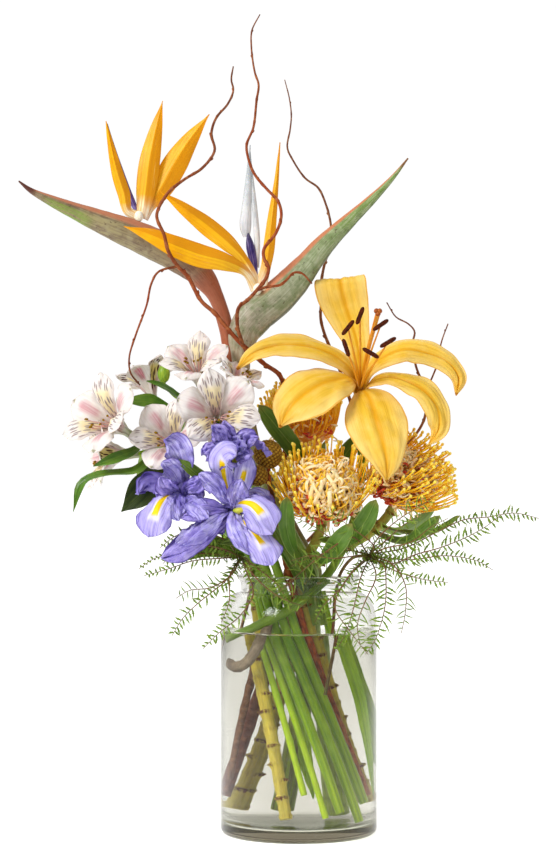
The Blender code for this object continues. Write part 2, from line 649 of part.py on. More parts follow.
IRIS_BUD = [(-56, -60, 238, 3), (-66, -66, 232, 6), (-78, -71, 223, 7), (-91, -75, 215, 5.5),
            (-102, -77, 208, 1.2)]
IRIS_HEART = 5.0
IRIS_STEMS = {   # the way each stem arrives, and its leaves
    "front": ((-0.5, -0.6, 0.6), [
        (206, (0, -1, 0.4), [(-32, -42, 214, 13), (-44, -54, 220, 13), (-60, -60, 217, 2)])]),
    "left": ((-0.7, -0.5, 0.5), [
        (210, (0.3, -1, 0.3), [(-58, -32, 214, 15), (-74, -42, 214, 16), (-90, -50, 203, 2)])]),
    "top": ((-0.3, -0.5, 0.8), []),
}


def iris(name):
    base = np.array(seen(*IRIS_BASES[name]))
    pieces = [ball("heart", base, IRIS_HEART, "iris", rings=5)]
    for face, cup, knots in IRIS_PETALS[name]:
        whole = from_heart(base, 3.6, 3, placed(knots))
        pieces.append(blade("petal", whole, "iris", face=face, cup=cup, rows=4))
    if name == "front":
        pieces.append(tube("bud", [(*base, 3)] + placed(IRIS_BUD), "iris", 7, 0))
    joined(f"iris_{name}_petals", pieces, "MANIFOLD")   # curled petals cut themselves into crumbs otherwise

    arriving, leaves = IRIS_STEMS[name]
    arriving = unit(arriving)
    top = base - arriving * (IRIS_HEART + 2 * GAP)
    knots = rise("iris_" + name, top, arriving, 2.6)
    green = [tube("stem", knots, "green", resolution=1)]
    green += [leaf(knots, height, face, line, cup=0.25) for height, face, line in leaves]
    joined(f"iris_{name}_stem", green)


# Pincushion: a woolly head with curved pins that stand out of it

HEADS = {   # middle, the way it points, core radius, pins' reach
    "front": ((18, -34, 254), (0.0, -0.45, 0.9), 19.5, 33),
    "right": ((78, -2, 262), (0.35, -0.35, 0.85), 19.0, 32),
    "back": ((4, 34, 304), (-0.1, 0.15, 1.0), 18.0, 31),
}
PINS = 34
PIN_COVER = 1.35            # 2 would spread them over the whole ball
PIN_LEAN = 0.34             # towards the head's own axis
GOLDEN_ANGLE = math.pi * (3 - math.sqrt(5))
HEAD_LEAVES = {
    "front": [
        (206, (0, -1, 0.3), [(-4, -42, 212, 8), (-9, -60, 230, 12), (-9, -66, 252, 8)]),
        (222, (0.1, -1, 0.2), [(34, -46, 219, 9), (48, -60, 231, 14), (58, -66, 250, 9)]),
        (212, (0, -1, 0.2), [(18, -48, 206, 9), (29, -66, 217, 14), (40, -70, 232, 9)]),
    ],
    "right": [
        (226, (0, -0.8, 0.7), [(78, -30, 219, 10), (92, -42, 225, 12), (106, -46, 238, 8)]),
        (230, (0, -0.5, 1), [(92, -14, 224, 9), (107, -22, 228, 11), (121, -28, 238, 7)]),
        (228, (0.2, 0.7, 0.7), [(76, 26, 226, 12), (92, 36, 234, 14), (104, 42, 246, 3)]),
    ],
    "back": [
        (262, (-0.2, -1, 0.3), [(2, 4, 270, 9), (-1, -9, 284, 13), (-15, -12, 303, 15), (-30, -13, 321, 9)]),
        (262, (0, 1, 0.3), [(8, 52, 268, 12), (14, 66, 278, 15), (20, 72, 294, 3)]),
        (256, (-0.5, 1, 0.3), [(-26, 42, 262, 12), (-40, 52, 270, 14), (-50, 56, 284, 3)]),
    ],
}


def pin(head, root, middle, tip):
    """Adds one style to the head's mesh: three-sided, from inside the core to a knob at the tip."""
    outward = unit(tip - root)
    right, up, _ = local_frame(outward, 0)
    sections = [(root, 1.0), (middle, 0.9), (tip, 1.4)]
    rings = []
    for place, radius in sections:
        turns = [math.tau * k / 3 for k in range(3)]
        points = [place + (right * math.cos(a) + up * math.sin(a)) * radius for a in turns]
        rings.append([head.verts.new(Vector(point) * MM) for point in points])
    for lower, upper in zip(rings, rings[1:]):
        for k in range(3):
            n = (k + 1) % 3
            head.faces.new((lower[k], lower[n], upper[n], upper[k]))
    head.faces.new(rings[0][::-1])
    head.faces.new(rings[-1])


def pincushion(name):
    middle, axis, core, reach = HEADS[name]
    middle, (right, up, axis) = np.array(seen(*middle)), local_frame(axis, 0)
    pins = bmesh.new()
    for k in range(PINS):
        polar = math.acos(1 - PIN_COVER * (k + 0.5) / PINS)
        turn = k * GOLDEN_ANGLE
        outward = axis * math.cos(polar) + (right * math.cos(turn) + up * math.sin(turn)) * math.sin(polar)
        bend = middle + outward * (core + 0.5 * (reach - core))
        pin(pins, middle + outward * core * 0.7, bend, middle + unit(outward + PIN_LEAN * axis) * reach)
    bmesh.ops.recalc_face_normals(pins, faces=pins.faces)
    styles = mesh_object("pins", pins, "pin")
    joined(f"pincushion_{name}_head", [ball("core", middle, core, "pin", rings=7), styles])

    top = middle - axis * (core + 2 * GAP)
    knots = rise("pincushion_" + name, top, axis, 3.4, pull=(15, 35))
    wood = [tube("stem", knots, "wood", resolution=1)]
    wood += [leaf(knots, height, face, line) for height, face, line in HEAD_LEAVES[name]]
    joined(f"pincushion_{name}_stem", wood)


# Brown seed heads on a rust-coloured stem

SEED_FORK = (-22, -34, 262)
SEED_HEADS = [((-23, -34, 284), 11.0), ((-31, -44, 268), 8.0)]


def berries():
    top = np.array(seen(*SEED_FORK))
    knots = rise("berry", top, (-0.2, -0.2, 1), 1.8)
    pieces = [tube("stem", knots, "seed", resolution=1)]
    for place, radius in SEED_HEADS:
        middle = seen(*place)
        pieces.append(tube("twig", [(*top, 1.5), (*middle, 1.5)], "seed", resolution=0))
        pieces.append(ball("seed_head", middle, radius, "seed", rings=5))
    joined("berry_stem", pieces)


# Corkscrew willow twigs (x, depth, z, radius)

WILLOW_LEFT = [(-8, 14, 238, 2.6), (-10, 5, 272, 2.3), (-10, 0, 300, 2.2), (-10, -3, 326, 2.1),
               (-14, -6, 343, 2.0),
               (-26, -10, 352, 2.0), (-42, -15, 366, 2.0), (-55, -16, 380, 1.9), (-63, -17, 390, 1.9),
               (-73, -17, 399, 1.8),
               (-83, -16, 417, 1.8), (-90.5, -20, 425, 1.7), (-98, -33, 437, 1.6), (-101, -37, 449, 1.5),
               (-106, -38, 460, 1.4), (-106, -36, 466, 1.4), (-98, -34, 480, 1.4), (-86, -30, 490, 1.3),
               (-72, -26, 499, 1.3), (-63, -24, 512, 1.2), (-65.5, -24, 524, 1.2), (-62, -24, 536, 1.1),
               (-53, -24, 547, 1.0), (-49, -24, 557, 0.9), (-50.5, -24, 565, 0.8), (-49, -24, 575, 0.6)]
WILLOW_TALL = [(-42, -18, 366, 1.7), (-46, -19, 381, 1.6), (-45, -19, 394, 1.6), (-38, -17, 400, 1.6),
               (-31.5, -17, 407, 1.6), (-24.5, -19, 416, 1.6), (-22.5, -20, 424, 1.5), (-26, -20, 431, 1.5),
               (-26, -19, 438, 1.5), (-17, -18, 450, 1.4), (-13, -17, 463, 1.4), (-15.5, -16, 474, 1.3),
               (-23, -15, 482, 1.3), (-33, -13, 494, 1.3), (-37.5, -12, 505, 1.2), (-39, -12, 516, 1.2),
               (-34, -12, 529, 1.1), (-31.5, -12, 550, 1.1), (-30, -12, 561, 1.0), (-33, -12, 571, 0.9),
               (-35.5, -12, 590, 0.8), (-35, -12, 602, 0.7), (-29, -12, 614, 0.5)]
WILLOW_SIDE = [(-31.5, -17, 407, 1.3), (-24, -18, 409.5, 1.2), (-14, -17, 411, 1.2), (-9, -14, 415, 1.2),
               (-4, -13, 420, 1.1), (2, -13, 420, 1.0), (10, -13, 412, 0.8)]
WILLOW_LOW = [(-90.5, -20, 425, 1.1), (-105, -22, 421, 1.0), (-110.5, -22, 412, 1.0), (-114, -20, 396, 0.9),
              (-122, -18, 374, 0.9), (-127, -14, 357, 0.8), (-126, -8, 345, 0.8), (-119, 0, 336, 0.7)]
WILLOW_BACK = [(32, 52, 256, 2.0), (43, 47, 300, 1.9), (32, 38, 344, 1.8), (19.5, 32, 374, 1.7),
               (16.5, 30, 386, 1.6), (17, 29, 400, 1.6), (17, 29, 413, 1.6), (19, 29, 425, 1.5),
               (24, 29, 443, 1.4), (24, 29, 457, 1.3), (19.5, 28, 474, 1.2), (14.5, 27, 484, 1.2),
               (5, 26, 491, 1.1), (-4, 25, 504, 1.0), (-8.5, 24, 514, 1.0), (-6.5, 24, 527, 0.9),
               (-5.5, 24, 538, 0.8), (-7, 24, 551, 0.7), (-10.5, 24, 565, 0.5)]
WILLOW_RIGHT = [(32, 52, 256, 1.6), (54, 50, 268, 1.6), (80, 46, 290, 1.6), (94, 34, 310, 1.5),
                (95, 28, 330, 1.4), (88, 24, 350, 1.3), (85, 22, 366, 1.2), (87, 22, 376, 1.0),
                (82, 22, 382, 0.9), (73, 22, 387, 0.8), (66, 22, 398, 0.6)]
WILLOW_RIGHT_TWIG = [(95, 28, 330, 1.1), (104, 24, 352, 0.9), (107, 22, 368, 0.8), (112, 22, 382, 0.6)]
WILLOWS = {   # the shoot that stands in the vase, and its branches
    "willow_left": (WILLOW_LEFT, [WILLOW_TALL, WILLOW_SIDE, WILLOW_LOW]),
    "willow_back": (WILLOW_BACK, [WILLOW_RIGHT, WILLOW_RIGHT_TWIG]),
}


def willows():
    for name, (main, branches) in WILLOWS.items():
        shoot = placed(main)
        ahead = np.array(shoot[1][:3]) - np.array(shoot[0][:3])
        stem = rise(name, shoot[0][:3], ahead, shoot[0][3], steps=3)
        stem = stem[:-1] + smooth(shoot, len(main)).tolist()
        pieces = [tube("shoot", stem, "bark", resolution=0)]
        for branch in branches:
            pieces.append(tube("branch", placed(branch), "bark", len(branch), 0))
        joined(name, pieces)


# Fern sprays that hang over the rim: stem, then fronds with leaflets on both sides

FERNS = {
    "fern_right": (
        [(18, -36, 104, 1.2), (25, -26, 150, 1.2), (29, -19, 189, 1.2), (40, -29, 206, 1.2),
         (54, -44, 208, 1.1)],
        [   # the frond's line, with the length of its leaflets
            [(53, -43, 207, 5), (70, -56, 202, 9), (88, -60, 209, 11), (106, -62, 214, 10),
             (126, -60, 222, 9),
             (142, -56, 231, 7), (152, -54, 239, 3)],
            [(53, -43, 209, 4), (80, -50, 214, 5), (104, -52, 226, 6), (124, -48, 235, 6), (142, -44, 237, 7),
             (162, -40, 240, 7), (180, -38, 236, 3)],
            [(53, -43, 207, 4), (64, -58, 201, 8), (65.5, -66, 188, 10), (65, -68, 172, 11),
             (62, -68, 158, 10),
             (57, -68, 144, 8), (50, -67, 134, 4)],
            [(53, -43, 207, 3), (74, -60, 196, 5), (95, -64, 190, 6), (112, -64, 188, 4)],
        ],
    ),
    "fern_left": (
        [(-49, 12, 118, 1.2), (-44, 2, 150, 1.2), (-37, -8, 176, 1.2), (-34, -15, 190, 1.2),
         (-38, -27, 204, 1.2),
         (-44, -44, 207, 1.1)],
        [
            [(-43, -42, 206, 4), (-48, -56, 198, 7), (-56, -64, 188, 8), (-66, -66, 180, 8),
             (-77, -66, 171, 8),
             (-87, -65, 161, 8), (-95, -64, 148, 4)],
            [(-44, -44, 207, 3), (-60, -62, 206, 6), (-80, -68, 204, 7), (-98, -70, 198, 6),
             (-116, -70, 193, 3)],
            [(-43, -42, 207, 3), (-40, -60, 198, 4), (-34, -68, 180, 5), (-44, -72, 163, 8),
             (-60, -73, 150, 7),
             (-72, -72, 138, 3)],
        ],
    ),
}
LEAFLET_STEP = 10.0
LEAFLET_SWEEP = (0.35, -0.2)     # how far a leaflet leans along the rib, and out of its face
RACHIS = 1.3


def frond(name, knots, face):
    """A thin rib with a narrow leaflet on each side at every step."""
    length = sum(math.dist(a[:3], b[:3]) for a, b in zip(knots, knots[1:]))
    rows = 2 * max(4, round(length / LEAFLET_STEP))
    line = smooth(knots, rows + 1)
    centre, reach = line[:, :3], line[:, 3]
    tangent = unit(np.gradient(centre, axis=0))
    side = unit(np.cross(tangent, np.array(face, float)))
    out = unit(np.cross(side, tangent))
    bm = bmesh.new()
    left = [bm.verts.new(Vector(c - s * RACHIS / 2) * MM) for c, s in zip(centre, side)]
    right = [bm.verts.new(Vector(c + s * RACHIS / 2) * MM) for c, s in zip(centre, side)]
    for k in range(rows):
        bm.faces.new((left[k], right[k], right[k + 1], left[k + 1]))
        if k % 2:
            continue
        along = tangent[k] * LEAFLET_SWEEP[0] + out[k] * LEAFLET_SWEEP[1]
        for sign, edge in ((-1, left), (1, right)):
            tip = bm.verts.new(Vector(centre[k] + (side[k] * sign + along) * reach[k]) * MM)
            bm.faces.new((edge[k], tip, edge[k + 1]) if sign > 0 else (edge[k + 1], tip, edge[k]))
    bmesh.ops.triangulate(bm, faces=bm.faces)
    made = mesh_object(name, bm, "fern")
    skin = made.modifiers.new("thickness", "SOLIDIFY")
    skin.thickness = LEAFLET * MM
    skin.offset = 0
    return made


def ferns():
    for name, (stem, fronds) in FERNS.items():
        pieces = [tube("stem", placed(stem), "fern", STEM_KNOTS["fern"], 0)]
        for k, knots in enumerate(fronds):
            pieces.append(frond(f"frond_{k}", placed(knots), (0, -1, 0.3)))
        joined(name, pieces)


HOLE_BELOW = 1.5            # how far a stem's hole runs on under its cut end
HOLE_ABOVE = 8.0            # and over the water
STALK_ROOM = 0.08           # share of a stalk's radius that its hole adds, because their facets differ


def standing_stems():
    """The stretch of each stem below the water's surface, wide enough for its hole, and its sides."""
    holes = []
    for name, (_, _, radius, foot) in BUNDLE.items():
        room, resolution = GAP, 1
        if name.startswith("strelitzia"):
            room, resolution = GAP + STALK_ROOM * radius, 2
        if name.startswith("willow"):
            resolution = 0
        ends = [bundle_point(name, foot - HOLE_BELOW), bundle_point(name, WATER_LEVEL + HOLE_ABOVE)]
        holes.append(([(*place[:3], radius + room) for place in ends], resolution))
    ferns_below = [(stem, STEM_KNOTS["fern"], 0) for stem, _ in FERNS.values()]
    for line, count, resolution in [(LILY_CUT_END, STEM_KNOTS["lily"], 1)] + ferns_below:
        knots = smooth(placed(line), count)
        knots[0, :3] -= unit(knots[1, :3] - knots[0, :3])
        knots[:, 3] += GAP
        last = next(k for k, knot in enumerate(knots) if knot[2] > WATER_LEVEL + HOLE_ABOVE / 2)
        holes.append((knots[:last + 1].tolist(), resolution))
    return holes


clear_scene()
parts = new_collection("bird_of_paradise_bouquet")
cutters = new_collection("cutters", hidden=True)
vase()
strelitzia("left", SPATHE_LEFT, SEPALS_LEFT, TONGUE_LEFT)
strelitzia("right", SPATHE_RIGHT, SEPALS_RIGHT, TONGUE_RIGHT)
lily()
for bloom, (_, *where) in BLOOMS.items():
    alstroemeria_bloom(bloom, *where)
alstroemeria_umbel("left", LEFT_UMBEL_LEAVES)
alstroemeria_umbel("right", RIGHT_UMBEL_LEAVES)
for flower in IRIS_BASES:
    iris(flower)
for flower in HEADS:
    pincushion(flower)
berries()
willows()
ferns()
water(standing_stems())
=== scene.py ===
import math

import bmesh
import bpy
import numpy as np
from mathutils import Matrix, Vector


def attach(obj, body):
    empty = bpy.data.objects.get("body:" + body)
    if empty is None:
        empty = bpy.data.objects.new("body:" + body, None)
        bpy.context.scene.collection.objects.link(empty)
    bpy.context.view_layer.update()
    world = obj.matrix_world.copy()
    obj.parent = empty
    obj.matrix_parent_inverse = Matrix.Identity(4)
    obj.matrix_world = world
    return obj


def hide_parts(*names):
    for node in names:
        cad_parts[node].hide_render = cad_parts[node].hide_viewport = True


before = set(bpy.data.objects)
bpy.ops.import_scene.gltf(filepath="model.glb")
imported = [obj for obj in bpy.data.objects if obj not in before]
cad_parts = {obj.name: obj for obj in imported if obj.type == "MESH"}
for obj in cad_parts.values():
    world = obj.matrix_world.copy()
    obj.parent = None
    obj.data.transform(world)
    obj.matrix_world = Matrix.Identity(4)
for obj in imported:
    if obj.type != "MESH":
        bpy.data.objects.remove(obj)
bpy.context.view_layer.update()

# Bird of paradise bouquet in a glass jar vase: the living surfaces of every flower, leaf and stem.
# Places are in millimetres, in the same frame as the solids, and turn to metres in newPiece.
mm = 0.001
gap = 0.35      # clearance between neighbouring pieces
eye = np.array((-15.5, -2000, 300))      # the front elevation is seen from here
goldenAngle = math.pi * (3 - math.sqrt(5))
spanSteps = 12      # points between two knots of a smooth curve


# Places and curves

def seen(x, y, z):
    # where a point lies at depth y that covers the place (x, z) of the photograph
    scale = 1 - y / eye[1]
    return np.array((eye[0] + (x - eye[0]) * scale, y, eye[2] + (z - eye[2]) * scale))


def placed(knots):
    return [(*seen(x, y, z), *rest) for x, y, z, *rest in knots]


def unit(vectors):
    vectors = np.asarray(vectors, float)
    return vectors / np.maximum(np.linalg.norm(vectors, axis=-1, keepdims=True), 1e-9)


def smooth(knots, count):
    # evenly spread points on a centripetal Catmull-Rom curve through the knots
    knots = np.array(knots, float)
    ends = np.vstack([2 * knots[0] - knots[1], knots, 2 * knots[-1] - knots[-2]])
    dense = []
    for i in range(len(knots) - 1):
        a, b, c, d = ends[i:i + 4]
        steps = [max(np.linalg.norm(q[:3] - p[:3]), 1e-6) ** 0.5 for p, q in ((a, b), (b, c), (c, d))]
        t1 = steps[0]
        t2 = t1 + steps[1]
        t3 = t2 + steps[2]
        t = np.linspace(t1, t2, spanSteps, endpoint=False)[:, None]
        ab = (t1 - t) / t1 * a + t / t1 * b
        bc = (t2 - t) / (t2 - t1) * b + (t - t1) / (t2 - t1) * c
        cd = (t3 - t) / (t3 - t2) * c + (t - t2) / (t3 - t2) * d
        abc = (t2 - t) / t2 * ab + t / t2 * bc
        bcd = (t3 - t) / (t3 - t1) * bc + (t - t1) / (t3 - t1) * cd
        dense.append((t2 - t) / (t2 - t1) * abc + (t - t1) / (t2 - t1) * bcd)
    dense = np.vstack(dense + [knots[-1:]])
    run = lengths(dense[:, :3])
    at = np.linspace(0, run[-1], count)
    return np.column_stack([np.interp(at, run, dense[:, k]) for k in range(dense.shape[1])])


def lengths(points):
    return np.concatenate([[0], np.cumsum(np.linalg.norm(np.diff(points, axis=0), axis=1))])


def bezier(points, count):
    t = np.linspace(0, 1, count)[:, None]
    a, b, c, d = [np.array(p, float) for p in points]
    return (1 - t) ** 3 * a + 3 * (1 - t) ** 2 * t * b + 3 * (1 - t) * t * t * c + t ** 3 * d


def ripple(values, seed):
    # a smooth seeded wave, about one hump per unit, from -1 to 1
    draw = np.random.default_rng(seed)
    total = 0
    for k in range(4):
        total = total + np.sin(values * (1 + 0.73 * k) * math.tau + draw.uniform(0, math.tau)) / (1 + k)
    return total / 2.1


def localFrame(axis, turn):
    axis = unit(axis)
    right = unit(np.cross((0, 0, 1) if abs(axis[2]) < 0.95 else (0, 1, 0), axis))
    up = np.cross(axis, right)
    a = math.radians(turn)
    return right * math.cos(a) + up * math.sin(a), up * math.cos(a) - right * math.sin(a), axis


# Meshes. A shape holds points, faces, its material's number as paint, and what its surface knows about itself:
# petal = (along 0 to 1, across -1 to 1, back 0 or 1), flesh = (mm along, mm across, seed), mark = a switch

def thinSheet(grid, thick, along, seed, mark=0, paint=0):
    rows, columns = grid.shape[0] - 1, grid.shape[1] - 1
    across = np.linspace(-1, 1, columns + 1)
    normal = unit(np.cross(np.gradient(grid, axis=1), np.gradient(grid, axis=0)))
    half = thick / 2 * (1 - 0.5 * across ** 4)[None, :, None]
    count = grid.shape[0] * grid.shape[1]
    points = np.vstack([(grid + normal * half).reshape(-1, 3), (grid - normal * half).reshape(-1, 3)])
    index = np.arange(count).reshape(rows + 1, columns + 1)
    top = np.stack([index[:-1, :-1], index[:-1, 1:], index[1:, 1:], index[1:, :-1]], -1).reshape(-1, 4)
    rim = np.concatenate([index[0, :-1], index[:-1, -1], index[-1, :0:-1], index[:0:-1, 0]])
    ahead = np.roll(rim, -1)
    edge = np.stack([ahead, rim, rim + count, ahead + count], -1)
    run = lengths(grid[:, columns // 2])
    reach = np.linalg.norm(grid - grid[:, columns // 2][:, None], axis=2) * np.sign(across)
    flesh = np.stack([np.repeat(run[:, None], columns + 1, 1), reach, np.full(reach.shape, seed * 17.3)], -1)
    coat = np.stack([np.repeat(along[:, None], columns + 1, 1), np.repeat(across[None], rows + 1, 0),
                     np.zeros(reach.shape)], -1).reshape(-1, 3)
    return {"points": points, "faces": [top, (top + count)[:, ::-1], edge], "mark": mark, "paint": paint,
            "petal": np.vstack([coat, coat + (0, 0, 1)]), "flesh": np.vstack([flesh.reshape(-1, 3)] * 2)}


def ringSolid(rings, coat, flesh, mark=0, paint=0):
    rows, sides = rings.shape[:2]
    index = np.arange(rows * sides).reshape(rows, sides)
    ahead = np.roll(index, -1, axis=1)
    quads = np.stack([index[:-1], ahead[:-1], ahead[1:], index[1:]], -1).reshape(-1, 4)
    caps = [np.stack([ahead[0], index[0], np.full(sides, rows * sides)], -1),
            np.stack([index[-1], ahead[-1], np.full(sides, rows * sides + 1)], -1)]

    def capped(values):
        return np.vstack([values.reshape(-1, 3), values[0].mean(0), values[-1].mean(0)])

    return {"points": capped(rings), "faces": [quads] + caps, "petal": capped(coat), "flesh": capped(flesh),
            "mark": mark, "paint": paint}


def tube(knots, sides=10, count=0, seed=0, mark=0, paint=0, form=None, flat=1):
    line = smooth(knots, count) if count else np.array(knots, float)
    centre, radius = line[:, :3], line[:, 3]
    tangent = unit(np.gradient(centre, axis=0))
    right = [unit(np.cross(tangent[0], (0, 0, 1) if abs(tangent[0][2]) < 0.9 else (1, 0, 0)))]
    for t in tangent[1:]:
        right.append(unit(right[-1] - t * (t @ right[-1])))
    right = np.array(right)
    up = np.cross(tangent, right)
    run = lengths(centre)
    turn = np.arange(sides) * math.tau / sides
    reach = np.repeat(radius[:, None], sides, 1)
    if form:
        reach = reach * form(run[:, None], turn[None])
    wide, high = np.cos(turn) * reach, np.sin(turn) * reach * flat
    rings = centre[:, None] + right[:, None] * wide[:, :, None] + up[:, None] * high[:, :, None]
    ones = np.ones(reach.shape)
    coat = np.stack([ones * (run / run[-1])[:, None], ones * np.sin(turn), ones * 0], -1)
    flesh = np.stack([ones * run[:, None], wide, high + seed * 17.3], -1)
    return ringSolid(rings, coat, flesh, mark, paint)


def petal(knots, face=None, across=None, seed=0, mark=0, paint=0, rows=36, columns=14, cup=0.15, fold=0,
          furrow=0, ruffle=0, waves=3, crumple=0, tip=0.15, thick=0.4, twist=0, teeth=0, bite=0,
          pleats=(0, 0)):
    # a petal or leaf along (x, y, z, width): edges raised towards its face, tip rounded, rim ruffled
    line = smooth(knots, rows + 1)
    centre = line[:, :3]
    along = np.linspace(0, 1, rows + 1)
    tapering = np.clip((along - 1 + tip) / tip, 0, 1)
    half = np.maximum(line[:, 3] * np.sqrt(1 - tapering ** 2), 0.3) / 2
    if teeth:
        half = half * (1 - bite * np.abs(np.sin(along * teeth * math.pi)))
    tangent = unit(np.gradient(centre, axis=0))
    if across is None:
        side = unit(np.cross(tangent, np.array(face, float)))
    else:
        side = unit(np.array(across, float) - tangent * (tangent @ np.array(across, float))[:, None])
    raised = unit(np.cross(side, tangent))
    turned = (along * twist)[:, None]
    side, raised = side * np.cos(turned) + raised * np.sin(turned), raised * np.cos(turned) - side * np.sin(turned)
    u = np.linspace(-1, 1, columns + 1)[None]
    swell = np.sin(np.clip(along * 1.25, 0, 1) * math.pi / 2)[:, None]
    lift = half[:, None] * (cup * u * u + fold * np.abs(u))
    lift = lift - furrow * np.exp(-(u / 0.13) ** 2) * swell * np.minimum(half / half.max() * 2, 1)[:, None]
    edge = np.abs(u) ** 3 * swell
    lift = lift + ruffle * edge * np.where(u > 0, ripple(along * waves, seed * 2 + 1)[:, None],
                                           ripple(along * waves, seed * 2 + 2)[:, None])
    if pleats[0]:
        lift = lift + pleats[1] * swell * np.cos(u * pleats[0] * math.pi + along[:, None] * 2) * (1 - u ** 4)
    if crumple:
        lift = lift + crumple * swell * ripple(along[:, None] * 1.7 + u * 0.6, seed + 31)
        lift = lift + crumple * 0.5 * swell * ripple(along[:, None] * 0.8 - u * 1.3, seed + 57)
    grid = centre[:, None] + side[:, None] * (u * half[:, None])[:, :, None] + raised[:, None] * lift[:, :, None]
    return thinSheet(grid, thick, along, seed, mark, paint)


def pebble(centre, radius, rows=10, sides=14, seed=0, mark=0, paint=0, axis=(0, 0, 1), stretch=1, form=None):
    # a rounded body about a point, squeezed or drawn out along an axis
    t = np.linspace(0, math.pi, rows + 1)
    centre, axis = np.array(centre, float), unit(axis)
    knots = [(*(centre - axis * radius * stretch * math.cos(a)), radius * max(math.sin(a), 0.05)) for a in t]
    return tube(knots, sides, seed=seed, mark=mark, paint=paint, form=form)


def inScene(name, data):
    made = bpy.data.objects.new(name, data)
    bpy.context.scene.collection.objects.link(made)
    return made


def showPiece(name, mesh, nodes, sharp):
    # an object that rides with the solids and stands for the nodes it is given
    mesh.shade_smooth()
    mesh.set_sharp_from_angle(angle=math.radians(sharp))
    piece = inScene(name, mesh)
    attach(piece, "root")
    if nodes:
        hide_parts(*nodes)


def newPiece(name, shapes, materials, slot, *nodes):
    # one piece from many shapes
    faces, paints, start = [], [], 0
    for shape in shapes:
        for block in shape["faces"]:
            faces += (block + start).tolist()
            paints += [shape["paint"]] * len(block)
        start += len(shape["points"])
    mesh = bpy.data.meshes.new(name)
    mesh.from_pydata((np.vstack([s["points"] for s in shapes]) * mm).tolist(), [], faces)
    for layer in ("petal", "flesh"):
        values = np.vstack([s[layer] for s in shapes]).astype(np.float32)
        mesh.attributes.new(layer, "FLOAT_VECTOR", "POINT").data.foreach_set("vector", values.ravel())
    marks = np.concatenate([np.full(len(s["points"]), s["mark"], np.float32) for s in shapes])
    mesh.attributes.new("mark", "FLOAT", "POINT").data.foreach_set("value", marks)
    for made in materials:
        mesh.materials.append(made)
    mesh.polygons.foreach_set("material_index", paints)
    showPiece(name, mesh, nodes, 60)


# Materials

def linear(code):
    channels = [int(code[k:k + 2], 16) / 255 for k in (1, 3, 5)]
    return tuple(c / 12.92 if c <= 0.04045 else ((c + 0.055) / 1.055) ** 2.4 for c in channels) + (1,)


def setNode(tree, node, settings):
    # a setting is a value, or the socket or node that feeds it: a node gives its first output
    for name, value in settings.items():
        if isinstance(value, bpy.types.Node):
            value = value.outputs[0]
        if isinstance(value, bpy.types.NodeSocket):
            tree.links.new(value, node.inputs[name])
        elif isinstance(name, int) or name in node.inputs:
            node.inputs[name].default_value = value
        else:
            setattr(node, name, value)
    return node


def addNode(tree, kind, settings=None):
    return setNode(tree, tree.nodes.new("ShaderNode" + kind), settings or {})


soft = {"interpolation_type": "SMOOTHSTEP"}
times = {"operation": "MULTIPLY"}
mixing = {"data_type": "RGBA"}


def span(low, high, start=0, end=1):
    # values from low to high become start to end
    return {"From Min": low, "From Max": high, "To Min": start, "To Max": end}


def newMaterial(name):
    made = bpy.data.materials.new(name)
    made.use_nodes = True
    return made, made.node_tree, made.node_tree.nodes["Principled BSDF"]


cellWalls = {"ior": 1.42, "depth": 1.5, "reach": (1, 0.7, 0.4),     # wet, with light 1.5 mm into them
             "streaks": (0.42, 0.64), "patches": (0.45, 0.7)}       # where the noise turns to a mark


